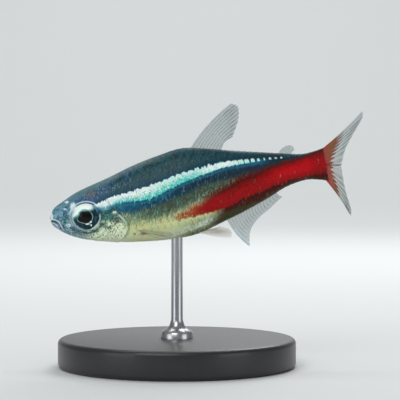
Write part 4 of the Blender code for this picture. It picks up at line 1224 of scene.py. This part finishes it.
class TETRA_OT_fins(bpy.types.Operator):
    """Grow each fin as a thin membrane with forked rays"""

    bl_idname = "tetra.fins"
    bl_label = "Fins"

    def execute(self, context):
        tissues = {name: fin_material(name, *values) for name, values in TISSUES.items()}
        shapes = fin_shapes()
        for name, fin in shapes.items():
            membrane, rays = FINISHES[fin.finish]
            self.membrane(name, fin, tissues[membrane])
            if rays:
                self.rays(name + "_rays", fin, tissues[rays], range(fin.rays))
        # A sheath of flesh over the tail fin's rays runs out along them and draws back between them
        for name in ("caudal_fin_upper", "caudal_fin_lower"):
            self.membrane(name, shapes[name], tissues["tail_base_flesh"], length=0.52, thicker=3)
        for name in ("pectoral_fin_left", "pectoral_fin_right"):
            self.rays(name + "_lower_ray", shapes[name], tissues["dusky_ray"], (6,), thicker=1.2)
        silvered = white_ray_material()
        self.rays("anal_fin_front_ray", shapes["anal_fin"], silvered, (1,), start=0.38, thicker=3.4)
        return {"FINISHED"}

    def membrane(self, name, fin, material, length=1.0, thicker=1):
        """The fin's skin, or a thicker fleshy sheath over the first part of its rays."""
        whole = length == 1
        deselect()
        bpy.ops.mesh.primitive_grid_add(x_subdivisions=(fin.rays - 1) * 6, y_subdivisions=24, size=1.0)
        sheet = named(name + ("_membrane" if whole else "_sheath"))
        flat = coordinates(sheet.data)
        across, out = flat[:, 0] + 0.5, (flat[:, 1] + 0.5) * length
        if fin.forks:
            notch = 0.5 - 0.5 * np.cos(2 * math.pi * across * (fin.rays - 1))
            out = out * (1 - (0.02 if whole else 0.4) * notch)
        set_coordinates(sheet.data, to_world(fin_surface(fin, across, out)))
        wall = sheet.modifiers.new("wall", "SOLIDIFY")
        wall.thickness = bpy.context.scene.tetra_sizes.membrane * (4 if fin.finish == "fleshy" else thicker)
        wall.offset = 0.0
        apply_modifiers(sheet)
        recalculate_normals(sheet)
        finish_piece(sheet, material, (name,))

    def rays(self, name, fin, material, which, start=0.0, thicker=1.0):
        """The fin's rays as tapering rods, forked from the third on."""
        data = bpy.data.curves.new(name, "CURVE")
        data.dimensions = "3D"
        data.bevel_depth = 1.0
        data.bevel_resolution = 1
        data.use_fill_caps = True
        reach = np.linalg.norm(np.diff(spline_at(fin.edge, np.linspace(0, 1, 50)), axis=0), axis=1).sum()
        spacing = reach / (fin.rays - 1) * MM
        thick = min(bpy.context.scene.tetra_sizes.ray, 0.12 * spacing) * thicker
        for i in which:
            place = i / (fin.rays - 1)
            lines = ((lambda out: place, start),)
            if i > 1 and fin.forks:
                lines = fork_lines(place, 0.5 / (fin.rays - 1), fin.forks)
            for line, low in lines:
                self.spline(data, fin, line, low, thick)
        made = bpy.data.objects.new(name, data)
        bpy.context.collection.objects.link(made)
        select(made)
        bpy.ops.object.convert(target="MESH")
        finish_piece(bpy.context.object, material)

    def spline(self, data, fin, line, start, thick, steps=16):
        """One rod: it tapers from the root, or to both ends where it starts on the way."""
        out = np.linspace(start, 1.0, steps)
        places = np.clip(line(out) + np.zeros(steps), 0, 1)
        made = data.splines.new("POLY")
        made.points.add(steps - 1)
        for k, point in enumerate(to_world(fin_surface(fin, places, out))):
            made.points[k].co = (*point, 1.0)
            taper = 1 - 0.75 * out[k] if start == 0 else math.sin(math.pi * (k + 1) / (steps + 1))
            made.points[k].radius = thick * taper


def fork_lines(place, reach, forks):
    """A ray's lines, as its place across the fin at each share of its length, and where each line starts.
    The halves of its stem part after its middle, and part again where it forks twice."""
    lines = []
    for way in (-1, 1):

        def half(out, way=way):
            return place + way * reach * 0.5 * fade(out, 0.42, 1.0)

        def twig(out, way=way, half=half):
            return half(out) - way * reach * 0.5 * fade(out, 0.72, 1.0)

        lines.append((half, 0.0 if way < 0 else 0.4))
        if forks > 1:
            lines.append((twig, 0.7))
    return lines


def painted_metal():
    """Satin black stove enamel, sprayed: an even, slightly pebbled skin with a soft gloss."""
    material, tree, shader = new_material("satin_black_enamel", {"Roughness": 0.4, "Coat Weight": 0.15})
    place = add_node(tree, "ShaderNodeTexCoord", take="Object")
    # Pebbles about 0.5 mm across
    pebbles = {"Vector": place, "Scale": 1800.0, "Detail": 4.0, "Roughness": 0.6}
    grain = add_node(tree, "ShaderNodeTexNoise", pebbles)
    pair = {MASK: grain, BELOW: (*linear("#131416"), 1.0), ABOVE: (*linear("#1e2023"), 1.0)}
    tree.links.new(add_node(tree, "ShaderNodeMix", pair, data_type="RGBA"), shader.inputs["Base Color"])
    height = {"Height": grain, "Strength": 0.08, "Distance": 0.1 * MM}
    tree.links.new(add_node(tree, "ShaderNodeBump", height), shader.inputs["Normal"])
    return material


def drawn_steel():
    """Stainless steel rod, drawn and rubbed along its length: fine upright lines in a satin shine."""
    material, tree, shader = new_material("drawn_steel", {"Roughness": 0.26, "Metallic": 1.0})
    place = add_node(tree, "ShaderNodeTexCoord", take="Object")
    # Lines about 0.1 mm wide and 4 mm long, drawn coarser than they are so that they show
    drawn = add_node(tree, "ShaderNodeMapping", {"Vector": place, "Scale": (9000.0, 9000.0, 250.0)})
    grain = add_node(tree, "ShaderNodeTexNoise", {"Vector": drawn, "Scale": 1.0})
    pair = {MASK: grain, BELOW: (*linear("#95969a"), 1.0), ABOVE: (*linear("#c6c7ca"), 1.0)}
    tree.links.new(add_node(tree, "ShaderNodeMix", pair, data_type="RGBA"), shader.inputs["Base Color"])
    return material


class TETRA_OT_stand(bpy.types.Operator):
    """Turn the round base and the rod that holds the fish"""

    bl_idname = "tetra.stand"
    bl_label = "Stand"

    def execute(self, context):
        low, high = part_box("stand_base")
        radius, height = (high.x - low.x) / 2, high.z - low.z
        deselect()
        middle = (0, 0, low.z + height / 2)
        bpy.ops.mesh.primitive_cylinder_add(vertices=160, radius=radius, depth=height, location=middle)
        base = named("base_disc")
        bpy.ops.object.transform_apply(location=True, rotation=True, scale=True)
        edge = base.modifiers.new("edge", "BEVEL")
        edge.width = 0.5 * MM
        edge.segments = 5
        edge.limit_method = "ANGLE"
        apply_modifiers(base)
        finish_piece(base, painted_metal(), ("stand_base",))
        self.smooth_by_angle(base)

        # The rod's profile, from its foot in the base to its top in the belly
        rows = [(high.z + up * MM, wide * MM) for up, wide in ROD_FOOT]
        rows.append((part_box("stand_rod")[1].z + ROD_IN_BELLY * MM, rows[-1][1]))
        deselect()
        bpy.ops.mesh.primitive_cylinder_add(vertices=40, radius=1.0, depth=1.0)
        rod = named("rod")
        bpy.ops.object.mode_set(mode="EDIT")
        bpy.ops.mesh.select_all(action="SELECT")
        bpy.ops.mesh.bisect(plane_co=(0, 0, 0.45), plane_no=(0, 0, 1))
        for k in range(1, len(rows) - 2):
            bpy.ops.mesh.select_all(action="SELECT")
            bpy.ops.mesh.bisect(plane_co=(0, 0, k / (len(rows) - 1) - 0.5), plane_no=(0, 0, 1))
        bpy.ops.object.mode_set(mode="OBJECT")
        places = coordinates(rod.data)
        share = places[:, 2] + 0.5
        levels = np.linspace(0, 1, len(rows))
        places[:, :2] *= np.interp(share, levels, [row[1] for row in rows])[:, None]
        places[:, 2] = np.interp(share, levels, [row[0] for row in rows])
        set_coordinates(rod.data, places)
        finish_piece(rod, drawn_steel(), ("stand_rod",))
        self.smooth_by_angle(rod)
        return {"FINISHED"}

    def smooth_by_angle(self, obj):
        select(obj)
        bpy.ops.object.shade_smooth_by_angle(angle=math.radians(35))


def area_light(name, place, target, size, power, colour):
    """A soft box at a place, facing its target."""
    bpy.ops.object.light_add(type="AREA", location=place)
    light = bpy.context.object
    light.name = name
    light.data.energy = power
    light.data.size = size
    light.data.color = colour
    x, y, z = np.array(target) - np.array(place)
    light.rotation_euler = (math.atan2(math.hypot(x, y), -z), 0.0, math.atan2(x, -y) + math.pi)


class TETRA_OT_stage(bpy.types.Operator):
    """Set the floor, backdrop, lights and camera"""

    bl_idname = "tetra.stage"
    bl_label = "Stage"

    def execute(self, context):
        stage = context.scene.tetra_stage
        deselect()
        bpy.ops.mesh.primitive_grid_add(x_subdivisions=2, y_subdivisions=60, size=1.0)
        floor = named("floor")
        flat = coordinates(floor.data)
        # The paper lies flat, bends up and runs on upright, all in metres
        width, length, front, bend_start, bend = 6.0, 3.0, -0.9, 0.55, 0.45
        depth = (flat[:, 1] + 0.5) * length + front
        past = np.clip(depth - bend_start, 0, None)
        turn = np.minimum(past / bend, math.pi / 2)
        y = np.minimum(depth, bend_start) + bend * np.sin(turn)
        z = bend * (1 - np.cos(turn)) + np.clip(past - bend * math.pi / 2, 0, None)
        set_coordinates(floor.data, np.column_stack((flat[:, 0] * width, y, z)))
        paper = {"Roughness": 0.85, "Base Color": (*linear("#dadddd"), 1.0)}
        floor.data.materials.append(new_material("backdrop_paper", paper)[0])
        floor.data.shade_smooth()

        for name, (place, target, size, share, colour) in LIGHTS.items():
            area_light(name, place, target, size, stage.key_power * share, colour)

        world = bpy.data.worlds.new("soft_room")
        context.scene.world = world
        world.use_nodes = True
        sky = world.node_tree.nodes["Background"].inputs
        sky["Color"].default_value = (0.9, 0.93, 0.95, 1.0)
        sky["Strength"].default_value = 0.32
        context.scene.view_settings.view_transform = "Standard"

        x, _, z = FISH_CENTRE
        away, up = stage.distance * math.cos(stage.elevation), stage.distance * math.sin(stage.elevation)
        turn = (math.pi / 2 - stage.elevation, 0.0, 0.0)
        bpy.ops.object.camera_add(location=(x, -away, z + up), rotation=turn)
        camera = bpy.context.object
        camera.data.lens = stage.lens
        camera.data.clip_start = 0.005
        context.scene.camera = camera
        return {"FINISHED"}


class TETRA_PT_panel(bpy.types.Panel):
    bl_idname = "TETRA_PT_panel"
    bl_label = "Neon Tetra"
    bl_space_type = "VIEW_3D"
    bl_region_type = "UI"
    bl_category = "Tetra"

    def draw(self, context):
        for key, group in GROUPS.items():
            box = self.layout.box()
            for name in group.__annotations__:
                box.prop(getattr(context.scene, key), name)
        for step in OPERATORS:
            self.layout.operator(step.bl_idname)


GROUPS = {"tetra_sizes": TetraSizes, "tetra_colours": TetraColours, "tetra_stage": TetraStage}
OPERATORS = (TETRA_OT_stage, TETRA_OT_skin, TETRA_OT_scales, TETRA_OT_eyes, TETRA_OT_fins, TETRA_OT_stand)
CLASSES = (*GROUPS.values(), *OPERATORS, TETRA_PT_panel)


def register():
    for made in CLASSES:
        bpy.utils.register_class(made)
    for key, group in GROUPS.items():
        setattr(bpy.types.Scene, key, bpy.props.PointerProperty(type=group))


def unregister():
    for key in GROUPS:
        delattr(bpy.types.Scene, key)
    for made in reversed(CLASSES):
        bpy.utils.unregister_class(made)


def main():
    register()
    bpy.ops.tetra.stage()
    bpy.ops.tetra.skin()
    bpy.ops.tetra.scales()
    bpy.ops.tetra.eyes()
    bpy.ops.tetra.fins()
    bpy.ops.tetra.stand()


if __name__ == "__main__":
    main()
